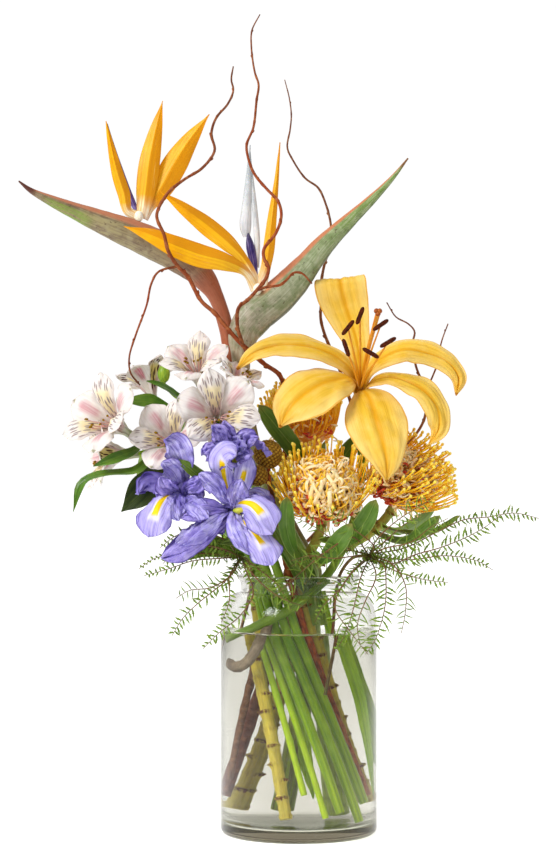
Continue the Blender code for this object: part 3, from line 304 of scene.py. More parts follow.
def tissue(name, look, marks=None):
    # living plant tissue: a colour ramp from base to tip, lengthwise streaks, a paler or darker rim,
    # a midrib, patches, and its own underside
    made, tree, shader = newMaterial(name)
    known = addNode(tree, "Attribute", {"attribute_name": "petal"}).outputs["Vector"]
    along, across, back = addNode(tree, "SeparateXYZ", {0: known}).outputs
    side = addNode(tree, "Math", {"operation": "ABSOLUTE", 0: across})
    laid = addNode(tree, "Attribute", {"attribute_name": "flesh"}).outputs["Vector"]
    place = addNode(tree, "TexCoord").outputs["Object"]
    colour = addNode(tree, "ValToRGB", {0: along})
    for k, (at, code) in enumerate(look["stops"]):
        stop = colour.color_ramp.elements[k] if k < 2 else colour.color_ramp.elements.new(at)
        stop.position, stop.color = at, linear(code)

    code, spacing, length, strength = look["streak"]        # mm between streaks, mm along one
    drawn = addNode(tree, "VectorMath", {**times, 0: laid, 1: (1 / length, 1 / spacing, 1 / spacing)})
    streak = addNode(tree, "TexNoise", {"Scale": 1, "Detail": 3, "Roughness": 0.6, "Vector": drawn})
    coats = [(addNode(tree, "MapRange", {0: streak, **span(*cellWalls["streaks"], 0, strength)}), code)]
    code, size, strength = look["patch"]                    # mm across one patch
    patch = addNode(tree, "TexNoise", {"Scale": 1 / (size * mm), "Detail": 4, "Vector": place})
    coats.append((addNode(tree, "MapRange", {0: patch, **span(*cellWalls["patches"], 0, strength)}), code))
    if "edge" in look:
        code, start, strength = look["edge"]
        coats.append((addNode(tree, "MapRange", {0: side, **soft, **span(start, 1, 0, strength)}), code))
    if "rib" in look:
        code, width, strength = look["rib"]
        coats.append((addNode(tree, "MapRange", {0: side, **soft, **span(0, width, strength, 0)}), code))
    if marks:
        coats += marks(tree, along, across, side, laid, streak)
    if "back" in look:
        code, strength = look["back"]
        coats.append((addNode(tree, "Math", {**times, 0: back, 1: strength}), code))
    for mask, code in coats:
        colour = addNode(tree, "Mix", {**mixing, 0: mask, 6: colour, 7: linear(code)}).outputs[2]
    height = addNode(tree, "Math", {"operation": "MULTIPLY_ADD", 0: streak, 1: 0.6, 2: patch})
    bump = addNode(tree, "Bump", {"Strength": 1, "Distance": look["relief"] * mm, "Height": height})
    setNode(tree, shader, {
        "Base Color": colour, "Normal": bump, "Roughness": look["rough"], "IOR": cellWalls["ior"],
        "Specular IOR Level": look.get("shine", 0.22), "Subsurface Weight": look.get("glow", 0),
        "Subsurface Scale": cellWalls["depth"] * mm, "Subsurface Radius": cellWalls["reach"],
        "Sheen Weight": look.get("sheen", 0), "Sheen Roughness": 0.4})
    return made


def band(tree, value, low, high, fade):
    # 1 between low and high, fading out on both sides
    rising = addNode(tree, "MapRange", {0: value, **soft, **span(low - fade, low)})
    falling = addNode(tree, "MapRange", {0: value, **soft, **span(high, high + fade, 1, 0)})
    return addNode(tree, "Math", {**times, 0: rising, 1: falling})


def both(tree, first, second, strength=1):
    product = addNode(tree, "Math", {**times, 0: first, 1: second})
    return addNode(tree, "Math", {**times, 0: product, 1: strength})


def zone(tree, first, second, strength=1):
    return both(tree, band(tree, *first), band(tree, *second), strength)


def speckles(tree, size, low, high):
    # irregular dots and blotches about size millimetres apart
    place = addNode(tree, "TexCoord").outputs["Object"]
    spots = addNode(tree, "TexNoise", {"Scale": 1 / (size * mm), "Detail": 2, "Vector": place})
    return addNode(tree, "MapRange", {0: spots, **span(low, high)})


# The stems: a hand-tied spiral through the neck, as in the solids

bundle = {   # angle round the spiral at the binding, stem radius, height of the cut end
    "pincushion_back": (198, 4.2, 17), "alstroemeria_left": (220, 2.2, 34), "alstroemeria_right": (235, 2.2, 17),
    "iris_left": (252, 3.4, 20), "iris_front": (273, 3.4, 12), "iris_top": (294, 3.4, 24), "berry": (313, 2.7, 28),
    "pincushion_front": (333, 4.2, 22), "strelitzia_right": (4, 5.2, 11), "strelitzia_left": (36, 5.2, 14),
    "pincushion_right": (65, 4.2, 15), "willow_left": (91, 3.2, 26), "willow_back": (116, 2, 40),
}
binding = {"height": 150, "lean": -9, "ring": 20.5, "twist": 0.0138, "rim": 195}


def bundlePoint(name, z):
    degrees, radius, _ = bundle[name]
    a = math.radians(degrees)
    turn = binding["twist"] * (z - binding["height"])
    x, y = binding["ring"] * math.cos(a), binding["ring"] * math.sin(a)
    return x + turn * y + binding["lean"] * z / binding["height"], y - turn * x, z, radius


def rise(name, goal, arriving, endRadius, pull=(25, 40), steps=24):
    foot = bundle[name][2]
    start = np.array(bundlePoint(name, binding["rim"]))
    leaving = unit((start - np.array(bundlePoint(name, binding["rim"] - 60)))[:3])
    goal = np.array(goal, float)
    reach = min(0.6 * np.linalg.norm(goal - start[:3]) / sum(pull), 1)
    path = bezier((start[:3], start[:3] + leaving * pull[0] * reach,
                   goal - unit(arriving) * pull[1] * reach, goal), steps + 1)
    radius = start[3] + (endRadius - start[3]) * np.linspace(0, 1, steps + 1)
    below = [bundlePoint(name, z) for z in np.linspace(foot, binding["rim"], 30)[:-1]]
    return below + [(*p, r) for p, r in zip(path, radius)]


def stemAt(knots, height):
    lines = np.array(knots)
    rising = np.maximum.accumulate(lines[:, 2])
    return tuple(np.interp(height, rising, lines[:, k]) for k in range(3))


def leafSheet(stem, height, face, knots, seed, **form):
    start = stem[-1][:3] if height is None else stemAt(stem, height)
    shape = {"rows": 26, "columns": 10, "cup": 0.2, "furrow": 0.4, "ruffle": 0.7, "waves": 2, "tip": 0.2,
             "thick": 0.45, "crumple": 0.4}
    shape.update(form)
    return petal([(*start, 3)] + placed(knots), face=face, seed=seed, **shape)


def fromHeart(heart, distance, width, knots):
    heart = np.array(heart)
    start = heart + unit(np.array(knots[0][:3]) - heart) * distance
    return [(*start, width)] + knots


def bark(period, depth, seed):
    # a stem's slight swelling at its nodes, a period of millimetres apart
    def form(run, turn):
        ring = np.exp(-(((run / period + 0.3) % 1 - 0.5) / 0.07) ** 2)
        swollen = depth * ring * (1 + 0.5 * np.sin(turn + run / period * 2.4))
        return 1 + swollen + 0.04 * ripple(run / 9 + np.sin(turn) * 0.4, seed)
    return form


scarring = {"period": 13, "shift": 0.3, "turn": 2.4}     # mm between leaf scars, and the turn from one to the next


def knobs(depth, seed):
    # leaf scars that stand out on one side each, about a golden angle further round every time
    def form(run, turn):
        step = run / scarring["period"] + scarring["shift"]
        shelf = np.exp(-((step % 1 - 0.5) / 0.06) ** 2) + 0.35 * np.exp(-((step % 1 - 0.4) / 0.12) ** 2)
        there = np.exp(2.2 * (np.cos(turn - scarring["turn"] * np.floor(step)) - 1))
        return 1 + depth * shelf * (0.2 + there) + 0.05 * ripple(run / 8 + np.sin(turn) * 0.5, seed)
    return form


print("solids loaded, helpers ready")


# Green tissue

leafGreen = tissue("living leaf with a waxy skin", {      # dull satin blades with a paler rib and edge
    "stops": [(0, "#6f8a28"), (0.35, "#54741c"), (1, "#66802a")], "streak": ("#34501a", 1.1, 26, 0.6),
    "patch": ("#8a9c40", 14, 0.5), "edge": ("#8c9c48", 0.9, 0.6), "rib": ("#93a850", 0.07, 0.7),
    "back": ("#869c5c", 0.5), "rough": 0.45, "relief": 0.25, "glow": 0.08, "shine": 0.35})
leafDark = tissue("shaded ribbed leaf", {                 # the deep green leaves under the left umbel
    "stops": [(0, "#34480f"), (1, "#26360a")], "streak": ("#56682a", 1.6, 60, 0.6),
    "patch": ("#1a260a", 12, 0.5), "rib": ("#55702a", 0.05, 0.6), "back": ("#4a6128", 0.6), "rough": 0.36,
    "relief": 0.4, "glow": 0.05, "shine": 0.45})
leafFresh = tissue("young alstroemeria leaf", {           # bright thin blades, glossy on top
    "stops": [(0, "#6c8e1c"), (0.5, "#46701a"), (1, "#527a1e")], "streak": ("#2f5212", 1, 24, 0.6),
    "patch": ("#789632", 12, 0.45), "rib": ("#86a440", 0.06, 0.5), "back": ("#86a24c", 0.6), "rough": 0.36,
    "relief": 0.22, "glow": 0.12, "shine": 0.4})
greenStem = tissue("juicy green stem", {                  # lime where light passes through it
    "stops": [(0, "#bcdc10"), (0.25, "#acd400"), (0.5, "#7ca41c"), (1, "#789a36")],
    "streak": ("#d4e444", 0.8, 30, 0.5), "patch": ("#70a008", 18, 0.45), "rough": 0.34, "relief": 0.2,
    "glow": 0.15, "shine": 0.4})
irisStem = tissue("broad green stem with clasping leaves", {
    "stops": [(0, "#bcd428"), (0.25, "#a2c808"), (0.55, "#70960c"), (1, "#759234")],
    "streak": ("#4c8008", 1.3, 60, 0.65), "patch": ("#b4d444", 20, 0.5), "edge": ("#c3d390", 0.86, 0.5),
    "rough": 0.36, "relief": 0.25, "glow": 0.12, "shine": 0.4})


bladeSkin = tissue("wet iris blade", {                    # lime where the window light comes through
    "stops": [(0, "#aac824"), (0.5, "#9ec410"), (1, "#aed020")], "streak": ("#5c9008", 1.3, 80, 0.7),
    "patch": ("#b8dc3c", 22, 0.5), "rib": ("#b8d068", 0.08, 0.6), "back": ("#9cc040", 0.5), "rough": 0.3,
    "relief": 0.25, "glow": 0.2, "shine": 0.4})


# The vase and its water

vaseForm = {   # radii, heights and (radius, height) points of the turned outlines
    "radius": 58.7, "neck": 43.6, "lip": 46, "mouth": 40.7, "height": 194, "wall": 3.5, "floor": 9, "steps": 144,
    "shoulderFoot": 158, "shoulderTop": 181, "heel": 5, "roll": 1.8, "rim": 1.5,
    "underLip": [(45.5, 190.4), (44.1, 188.8), (43.6, 187)], "foot": [(49.7, 0), (46.7, 0.9), (30, 1.2), (0, 1.3)],
    "bowl": [(0, 7.8), (30, 8.2), (47.2, 9)],
    "level": 151.5, "wet": 55.5,          # the water's face lies just inside the glass, so no air shows
    "meniscus": [(0, 0), (51.2, 0), (53.7, 0.5), (55, 1.6), (55.5, 1.8), (55.5, 1.2)],
    "waterSide": [(55.5, 90.9), (55.5, 16), (55.5, 15)], "waterHeel": 13.7,
    "waterFoot": [(30, 7.9), (0, 7.5)]}
# glass and water meet in two faces here, which would each mirror more than the real one: mirror lowers that
# rim is the grey painted into a clear body where its wall is seen edge-on, as a dark outline
clearLooks = {
    "glass": {"body": "#fafbf9", "ior": 1.52, "tint": "#c8c2b0", "density": 33, "mirror": 0.4, "rim": "#aeaca4"},
    "water": {"body": "#fcfbf8", "ior": 1.33, "tint": "#b6b3a6", "density": 10.5, "mirror": 0.15, "rim": "#ffffff"},
}


def arc(x, z, radius, start, end, steps):
    turns = np.radians(np.linspace(start, end, steps + 1))
    return [(x + radius * math.cos(a), z + radius * math.sin(a)) for a in turns]


def shoulder(inset, steps=16):
    # a quarter of an ellipse from the neck out to the wall
    form = vaseForm
    side, neck = form["radius"] - inset, form["neck"] - inset
    drop = form["shoulderTop"] - form["shoulderFoot"]
    return [(neck + (side - neck) * math.cos(a), form["shoulderFoot"] - inset / 2 + drop * math.sin(a))
            for a in np.radians(np.linspace(90, 0, steps + 1))]


def turnedPiece(name, outline, material, node):
    # an outline in the XZ plane, turned about Z
    body = bmesh.new()
    ring = [body.verts.new((r * mm, 0, z * mm)) for r, z in outline]
    edges = [body.edges.new(pair) for pair in zip(ring, ring[1:])]
    bmesh.ops.spin(body, geom=ring + edges, cent=(0, 0, 0), axis=(0, 0, 1), angle=math.tau, steps=vaseForm["steps"])
    bmesh.ops.remove_doubles(body, verts=body.verts, dist=0.000002)
    bmesh.ops.delete(body, geom=[edge for edge in body.edges if not edge.link_faces], context="EDGES")
    bmesh.ops.recalc_face_normals(body, faces=body.faces)
    mesh = bpy.data.meshes.new(name)
    body.to_mesh(mesh)
    body.free()
    mesh.materials.append(material)
    showPiece(name, mesh, [node], 24)


def clearMaterial(name, look):
    # clear bodies: light bends at their faces and dims a little on its way through, and shadows stay clear
    made, tree, shader = newMaterial(name)
    place = addNode(tree, "TexCoord").outputs["Object"]
    wave = addNode(tree, "TexNoise", {"Scale": 1 / (22 * mm), "Detail": 1, "Vector": place})     # mould marks
    tone = addNode(tree, "Mix", {**mixing, 0: wave, 6: linear(look["body"]), 7: linear("#ffffff")})
    # the colour turns grey where a wall is seen edge-on: a painted dark outline, partly the longer path of light
    # through the glass there
    skim = addNode(tree, "LayerWeight", {"Blend": 0.5}).outputs["Facing"]
    edge = addNode(tree, "MapRange", {0: skim, **soft, **span(0.58, 0.86)})
    tone = addNode(tree, "Mix", {**mixing, 0: edge, 6: tone.outputs[2], 7: linear(look["rim"])})
    mirror = look["mirror"]
    setNode(tree, shader, {
        "Base Color": tone.outputs[2], "Transmission Weight": 1, "IOR": look["ior"], "Roughness": 0,
        "Specular Tint": (mirror, mirror, mirror, 1),
        "Normal": addNode(tree, "Bump", {"Strength": 0.25, "Distance": 0.12 * mm, "Height": wave})})
    # the sixth face in a row and those after it are seen straight through, as they would come out black
    ray = addNode(tree, "LightPath").outputs
    deep = addNode(tree, "Math", {"operation": "GREATER_THAN", 0: ray["Ray Depth"], 1: 5.5})
    passing = addNode(tree, "Math", {"operation": "MAXIMUM", 0: ray["Is Shadow Ray"], 1: deep})
    clear = addNode(tree, "BsdfTransparent", {"Color": linear("#f2f4ee")})
    setNode(tree, tree.nodes["Material Output"], {
        "Surface": addNode(tree, "MixShader", {0: passing, 1: shader, 2: clear}),
        "Volume": addNode(tree, "VolumeAbsorption", {"Color": linear(look["tint"]), "Density": look["density"]})})
    return made


def buildVase():
    form = vaseForm
    heel, side, top = form["heel"], form["radius"] - form["wall"], form["height"]
    outline = arc(form["mouth"] + form["rim"], top - form["rim"], form["rim"], 180, 90, 5)
    outline += arc(form["lip"] - form["roll"], top - form["roll"], form["roll"], 90, 0, 6)
    outline += form["underLip"] + shoulder(0) + arc(form["radius"] - heel, heel, heel, 0, -90, 8)
    outline += form["foot"] + form["bowl"] + arc(side - heel, form["floor"] + heel, heel, -90, 0, 6)[1:]
    outline += shoulder(form["wall"])[::-1] + [(form["neck"] - form["wall"], form["underLip"][-1][1])]
    glass = clearMaterial("pressed soda-lime glass", clearLooks["glass"])
    turnedPiece("vaseGlass", outline + [outline[0]], glass, "vase")

    body = [(r, form["level"] + rising) for r, rising in form["meniscus"]] + form["waterSide"]
    body += arc(form["wet"] - heel, form["waterHeel"], heel, 0, -90, 6)[1:] + form["waterFoot"]
    turnedPiece("vaseWater", body, clearMaterial("vase water", clearLooks["water"]), "water")
    print("vase and water turned")


standingLeaves = [   # x, depth, z, width: three blades in the water, then two that rise from the neck
    ((0.5, -1, 0.1), [(16, -6, 182, 6), (24, -9, 148, 8), (37, -12, 105, 9), (46, -12, 62, 7), (50, -9, 30, 3)]),
    ((0.7, -1, 0), [(17, 6, 182, 6), (23, 10, 148, 8), (31, 18, 104, 9), (37, 24, 62, 8), (39, 28, 34, 3)]),
    ((-0.4, -1, 0.1), [(-12, 4, 170, 5), (-8, 8, 130, 7), (2, 8, 80, 8), (6, 10, 44, 6), (8, 10, 26, 3)]),
    ((0.5, -1, 0.1), [(12, -14, 158, 5), (6, -22, 180, 7), (-4, -30, 200, 8), (-16, -40, 222, 9),
                      (-27, -45, 240, 7), (-32, -46, 250, 3)]),
    ((-0.3, -1, 0.2), [(19, -12, 158, 5), (14, -20, 182, 6), (6, -28, 204, 7), (-6, -37, 228, 7),
                       (-13, -41, 246, 3)]),
]


def buildStandingLeaves():
    blades = [petal(knots, face=face, seed=400 + k, rows=60, columns=14, cup=0.3, fold=0.15, ruffle=1.1, waves=4,
                    crumple=0.8, tip=0.12, thick=0.6, pleats=(5, 0.12), paint=k // 3)
              for k, (face, knots) in enumerate(standingLeaves)]
    newPiece("standingLeaves", blades, [bladeSkin, leafGreen], "green_stem")


buildVase()
buildStandingLeaves()


# Bird of paradise

birds = {
    "left": {"spread": 1.12,
        "spathe": [   # x, depth, z, full height, full width
            (-50, 9, 350, 11, 10.5), (-54.5, 8, 379, 11, 10), (-62, 7, 402, 12, 10.5), (-71, 5, 416, 18, 12),
            (-84, 2, 428, 23, 14), (-101, -2, 438, 24, 15), (-120, -5, 447, 23, 14), (-142, -9, 456, 19, 12),
            (-164, -12, 465, 13.5, 9), (-186, -16, 474.5, 8, 6), (-201, -18, 482, 4, 3.4),
            (-210, -20, 489, 1.2, 1.2)],
        "sepals": [
            [(-120, -4, 462.3, 5), (-128, -7, 467, 6.5), (-131, -10, 480, 8.5), (-135.5, -14, 494, 8),
             (-140, -18, 512, 5), (-144.5, -23, 534, 1)],
            [(-118, -3, 461, 5), (-116.5, -3, 468, 9), (-114.5, -2, 483, 13), (-112, 0, 502, 14),
             (-108, 3, 523, 10), (-102, 7, 549, 1)],
            [(-117, -2, 461, 5), (-113, 0, 470, 9), (-103, 3, 484, 15), (-93.5, 6, 501, 17), (-83, 9, 518, 12),
             (-67, 12, 539, 1)]],
        "tongue": [[(-123, 4, 470, 4), (-128, 4, 482, 4.5), (-133, 0, 496, 4), (-138.5, -5, 512, 3.5),
                    (-143.5, -10, 532, 1)]],
    },
    "right": {"spread": 1.08,
        "spathe": [
            (-42.5, -2, 345, 12, 11), (-43, -2, 358, 15, 13), (-41, -1, 375, 24, 16), (-32, 0, 388, 27, 17),
            (-20, 2, 398, 27, 17), (-6.5, 5, 411, 25, 16), (6, 8, 425.5, 20, 14), (19, 11, 441, 16, 12),
            (38.5, 16, 460, 11, 9), (54, 20, 474.5, 7.5, 6.4), (70, 24, 491, 4, 3.6), (82, 27, 506, 1.2, 1.2)],
        "sepals": [
            [(-31, -4, 408, 6), (-39, -9, 421, 7), (-55, -18, 429, 13), (-74, -22, 434, 17), (-93, -23, 441, 15),
             (-111.5, -22, 449, 10), (-131, -20, 455, 1)],
            [(-31, -4, 409, 6), (-38.5, -8, 427, 6), (-53, -13, 443, 12), (-70, -14, 457, 13), (-85, -15, 468, 9),
             (-105, -16, 482, 1)],
            [(-30, -4, 408, 7), (-25, -5, 423, 7), (-22.5, -8, 437, 8), (-20, -6, 460, 6.5), (-16.5, -3, 490, 3),
             (-14, 0, 518, 1)]],
        "tongue": [[(-32.5, 3, 420, 4), (-34, 3, 430, 6), (-36, 3, 440, 6.5), (-38, 3, 450, 4)],
                   [(-39, 4, 447, 5), (-39.5, 4, 455, 9), (-38.8, 4, 468, 7.5), (-37.5, 4, 490, 4.5),
                    (-36.5, 5, 516, 1)],
                   [(-31, 6, 424, 3), (-31, 6, 445, 4.5), (-33, 6, 470, 4), (-35.5, 6, 495, 2.5),
                    (-36.5, 6, 512, 1)]],
    },
}
claw = 3.4     # radius of the pale claw that the sepals and the tongue stand on
boatForm = {"pull": (8, 85), "stalkSteps": 40, "beakSteps": 100, "sides": 48,
            "opens": 45, "within": 40, "closes": 30,     # mm from the bend and from the tip
            "waist": (0.5, 0.3), "groove": 0.9, "lips": 0.12, "wave": 0.02}


def leftSpatheMarks(tree, along, across, side, laid, streak):
    # salmon lips along the top, a fresh green flank under the beak, a rosy bend in the stalk
    ragged = addNode(tree, "MapRange", {0: streak, **span(0.35, 0.6)})
    flank = zone(tree, (across, -1.2, -0.1, 0.5), (along, 0.885, 0.93, 0.03), 0.85)
    return [(both(tree, speckles(tree, 7, 0.5, 0.62), band(tree, along, 0.6, 0.9, 0.05), 0.5), "#6c5848"),
            (both(tree, speckles(tree, 2.2, 0.62, 0.7), band(tree, along, 0.5, 2, 0.05), 0.6), "#4c342a"),
            (zone(tree, (along, 0.46, 0.63, 0.06), (across, -2, 2, 0.1), 0.75), "#ad5c3c"),
            (both(tree, flank, ragged), "#7c9c34"),
            (zone(tree, (across, 0.72, 2, 0.3), (along, 0.68, 2, 0.03), 0.85), "#bc7454"),
            (zone(tree, (across, 0.985, 2, 0.01), (along, 0.7, 2, 0.02), 0.8), "#5a2a20"),
            (zone(tree, (along, 0.975, 2, 0.012), (across, -2, 2, 0.1), 0.9), "#54281f")]


def rightSpatheMarks(tree, along, across, side, laid, streak):
    # a salmon lip edged with gold, a dull keel, a rusty tip
    return [(both(tree, speckles(tree, 9, 0.5, 0.62), band(tree, along, 0.6, 0.95, 0.05), 0.45), "#5c7434"),
            (both(tree, speckles(tree, 2.4, 0.64, 0.71), band(tree, along, 0.55, 2, 0.05), 0.6), "#4c3c28"),
            (zone(tree, (across, 0.72, 2, 0.22), (along, 0.66, 0.98, 0.04), 0.9), "#cc7850"),
            (zone(tree, (across, 0.975, 2, 0.02), (along, 0.78, 0.95, 0.05)), "#d08f22"),
            (zone(tree, (across, -2, -0.92, 0.12), (along, 0.62, 0.95, 0.05), 0.7), "#565a44"),
            (zone(tree, (along, 0.985, 2, 0.01), (across, -2, 2, 0.1), 0.8), "#7c4a26")]


spatheSkin = {
    "left": tissue("leathery spathe, bronzed", {          # olive skin bloomed with bronze, rosy stalk
        "stops": [(0, "#a8c42e"), (0.3, "#80803a"), (0.48, "#ba765a"), (0.6, "#b86c4c"), (0.66, "#a07860"),
                  (0.74, "#988a68"), (0.88, "#9c9064"), (1, "#6f4836")],
        "streak": ("#5c4438", 1.3, 70, 0.75), "patch": ("#a49c7c", 5, 0.35), "rough": 0.4, "relief": 0.3,
        "shine": 0.4}, leftSpatheMarks),
    "right": tissue("leathery spathe, green", {           # grey green under silver lines
        "stops": [(0, "#a8c42e"), (0.3, "#80a02e"), (0.5, "#a48c6c"), (0.6, "#9c907c"), (0.7, "#98a07c"),
                  (0.84, "#7c9450"), (0.96, "#74943c"), (1, "#8f6430")],
        "streak": ("#d0d0b4", 0.8, 80, 0.45), "patch": ("#5c6c38", 5, 0.5), "rough": 0.4, "relief": 0.3,
        "shine": 0.4}, rightSpatheMarks),
}


def sepalMarks(tree, along, across, side, laid, streak):
    # the half beyond the fold is painted darker, as painted shade, with pale scratch lines along it that are partly
    # the sepal's fine ridges and partly painted highlight
    scratchAndHighlight = addNode(tree, "MapRange", {0: streak, **span(0.66, 0.7, 0, 0.6)})
    return [(zone(tree, (across, 0.04, 2, 0.04), (along, 0.16, 2, 0.1), 0.75), "#dc8c00"),
            (both(tree, scratchAndHighlight, band(tree, along, 0.2, 2, 0.1)), "#fbdc7c")]


sepalSkin = tissue("waxy orange sepal", {                 # strong orange with fine lengthwise lines
    "stops": [(0, "#fffaf0"), (0.11, "#fcf2cc"), (0.2, "#f0bc28"), (0.6, "#f0ae00"), (1, "#e89e00")],
    "streak": ("#d88600", 1.1, 60, 0.65), "patch": ("#f4bc10", 12, 0.5), "edge": ("#d08000", 0.86, 0.45),
    "rib": ("#c47800", 0.05, 0.6), "rough": 0.38, "relief": 0.25, "glow": 0.06, "shine": 0.25}, sepalMarks)
clawSkin = tissue("creamy claw", {
    "stops": [(0, "#f6f1dc"), (1, "#fffdf4")], "streak": ("#e6d9b0", 0.8, 8, 0.4),
    "patch": ("#f0e0b4", 5, 0.3), "rough": 0.4, "relief": 0.1, "glow": 0.15})
tongueDark = tissue("ink blue tongue", {
    "stops": [(0, "#8c80c4"), (0.12, "#54409c"), (0.6, "#443488"), (0.9, "#2c2454"), (1, "#14102c")],
    "streak": ("#b0a8d8", 0.9, 20, 0.5), "patch": ("#241a58", 5, 0.5), "rough": 0.35, "relief": 0.12,
    "glow": 0.08})
tongueSilver = tissue("silvery tongue lobe", {
    "stops": [(0, "#d1d4dc"), (0.2, "#edeff2"), (0.75, "#c3cace"), (1, "#7d8690")],
    "streak": ("#a0abb1", 0.7, 16, 0.5), "patch": ("#ffffff", 6, 0.4), "edge": ("#9aa2a2", 0.7, 0.5),
    "rough": 0.35, "relief": 0.1, "glow": 0.15})


def spatheSolid(name, side, look):
    # a round stalk that turns into a boat: two lips meet along the top and a keel runs below
    beak = np.array([(*seen(x, y, z), high / 2, wide / 2) for x, y, z, high, wide in look["spathe"]])
    goal, ahead = beak[0][:3], beak[1][:3]
    stalk = rise(name, goal, ahead - goal, beak[0][3], pull=boatForm["pull"], steps=boatForm["stalkSteps"])
    stalk = np.array([(*knot, knot[3]) for knot in stalk])
    line = np.vstack([stalk[:-1], smooth(beak, boatForm["beakSteps"])])
    centre = line[:, :3]
    run = lengths(centre)
    start = run[len(stalk) - 1]
    opened = np.clip((run - start - boatForm["opens"]) / boatForm["within"], 0, 1)
    boat = opened * np.clip((run[-1] - run) / boatForm["closes"], 0, 1) ** 0.3
    along = np.where(run < start, run / start * 0.5, 0.5 + 0.5 * (run - start) / (run[-1] - start))
    tangent = unit(np.gradient(centre, axis=0))
    depth = np.array((0, 1, 0))
    lateral = unit(depth - tangent * (tangent @ depth)[:, None])
    upper = -1 if side == "left" else 1      # its own upper side, where the lips meet
    height = unit(np.cross(tangent, lateral)) * upper
    turn = np.arange(boatForm["sides"]) * math.tau / boatForm["sides"]
    up, out = np.cos(turn)[None], -upper * np.sin(turn)[None]
    above, below = boatForm["waist"]
    pinch = 1 - boat[:, None] * (above * np.clip(up, 0, 1) ** 2 + below * np.clip(-up, 0, 1) ** 3)
    beside = (turn[None] + boatForm["lips"]) % math.tau - boatForm["lips"]
    groove = boatForm["groove"] * boat[:, None] * np.exp(-beside ** 2 / 0.012)
    wave = 1 + boatForm["wave"] * ripple(run[:, None] / 26 + out * 0.3, 3)
    high = up * line[:, 3:4] * wave - groove
    wide = out * line[:, 4:5] * pinch * wave
    rings = centre[:, None] + height[:, None] * high[:, :, None] + lateral[:, None] * wide[:, :, None]
    ones = np.ones(high.shape)
    coat = np.stack([ones * along[:, None], ones * up, ones * 0], -1)
    flesh = np.stack([ones * run[:, None], wide, high], -1)
    return ringSolid(rings, coat, flesh)


def buildBird(side):
    look, name = birds[side], "strelitzia_" + side
    newPiece(side + "BirdSpathe", [spatheSolid(name, side, look)], [spatheSkin[side]], "spathe", name + "_spathe")
    shapes = []
    base = seen(*look["sepals"][0][0][:3])
    for k, knots in enumerate(look["sepals"]):
        wider = [(*knot[:3], knot[3] * look["spread"]) for knot in placed(knots)]
        wider[0] = (*wider[0][:3], wider[0][3] * 1.5)
        shapes.append(petal(wider, face=(0.1, -1, 0.25), seed=k + 5, rows=56, columns=18, cup=-0.1,
                            fold=-0.24, ruffle=0.8, waves=1.6, tip=0.2, thick=0.6, furrow=-0.3))
    shapes.append(pebble(base, claw, 10, 16, paint=1, axis=(0.1, 0, 1), stretch=1.3))
    newPiece(side + "BirdSepals", shapes, [sepalSkin, clawSkin], "sepal", name + "_sepals")
    shapes = []
    for k, knots in enumerate(look["tongue"]):
        line = fromHeart(base, claw + 3 * gap, 2, placed(knots)) if k == 0 else placed(knots)
        shapes.append(petal(line, face=(0.3, -1, 0), seed=k + 9, rows=36, columns=8, cup=-0.2, fold=-0.2,
                            tip=0.3, thick=1, paint=1 if k else 0))
    newPiece(side + "BirdTongue", shapes, [tongueDark, tongueSilver], "tongue", name + "_tongue")


for flower in birds:
    buildBird(flower)
print("birds of paradise made")


# Lily

lily = {
    "base": (46, 8, 324), "throat": (46.2, 1.1, 331.9), "pistil": (59.5, -36, 390),
    "tepals": {
        "up": (None, [(46, 2, 345, 12), (43.5, 7, 368, 20), (39, 10, 383, 29), (35, 11, 396, 36),
                      (32, 9, 407, 39), (31, 9, 414, 39), (30.5, 13, 416, 36), (30, 18, 412, 26),
                      (30, 21, 405, 4)]),
        "left": ((0, -0.75, 0.8), [(40, -2, 346, 12), (27, -6, 358, 20), (4, -13, 366, 26), (-18, -20, 366, 24),
                                 (-34, -26, 360, 16), (-46.5, -29, 348, 2)]),
        "lowerLeft": ((-0.1, -0.8, 0.75), [(40, -8, 340, 14), (31, -18, 341, 32), (16, -30, 337, 46),
                                           (1, -38, 327, 44), (-9, -41, 316, 29), (-14, -40, 304, 3)]),
        "down": ((0, -0.9, 0.6), [(48, -10, 332, 14), (53, -22, 326, 34), (58, -36, 311, 46), (63, -44, 294, 39),
                                  (66, -46, 279, 24), (66, -43, 263, 2)]),
        "lowerRight": ((0.2, -0.85, 0.9), [(54, -8, 338, 10), (66, -14, 342, 16), (82, -22, 339, 22),
                                        (96, -27, 331, 23), (104.5, -29, 317, 21), (105, -28, 303, 15),
                                        (97, -25, 290, 2)]),
        "right": ((0, -0.85, 0.85), [(52, -2, 346, 10), (64, -1, 357, 18), (81, -2, 363, 27), (98.5, -5, 360, 25),
                                  (112, -8, 353, 19), (120, -10, 342, 13), (118, -11, 328, 3)]),
    },
    "stamens": [((46, -46, 388), (0.35, 0, 0.9)), ((37, -48, 379), (0.6, 0, 0.75)),
                ((35.5, -50, 364), (-0.3, 0, 0.9)), ((61.5, -44, 381), (0.8, 0, 0.55)),
                ((54, -54, 360), (0.85, 0, -0.5)), ((67, -38, 368), (0.85, 0, 0.5))],
    "cutEnd": [(-50, -13, 146, 3.6), (-40, -20, 151, 3.6), (-26, -28, 158, 3.5), (-6, -31, 168, 3.4),
               (16, -29, 187, 3.3), (30, -16, 207, 3.2), (41, 2, 234, 3.1), (47, 16, 268, 3)],
    "anther": [(-6.8, 0.5), (-6, 1.3), (-3.5, 1.8), (0, 1.75), (3.5, 1.8), (6, 1.3), (6.8, 0.5)],   # along it, radius
    "bow": (0, -0.8, 0), "filament": (1.2, 0.85, 0.6),
}
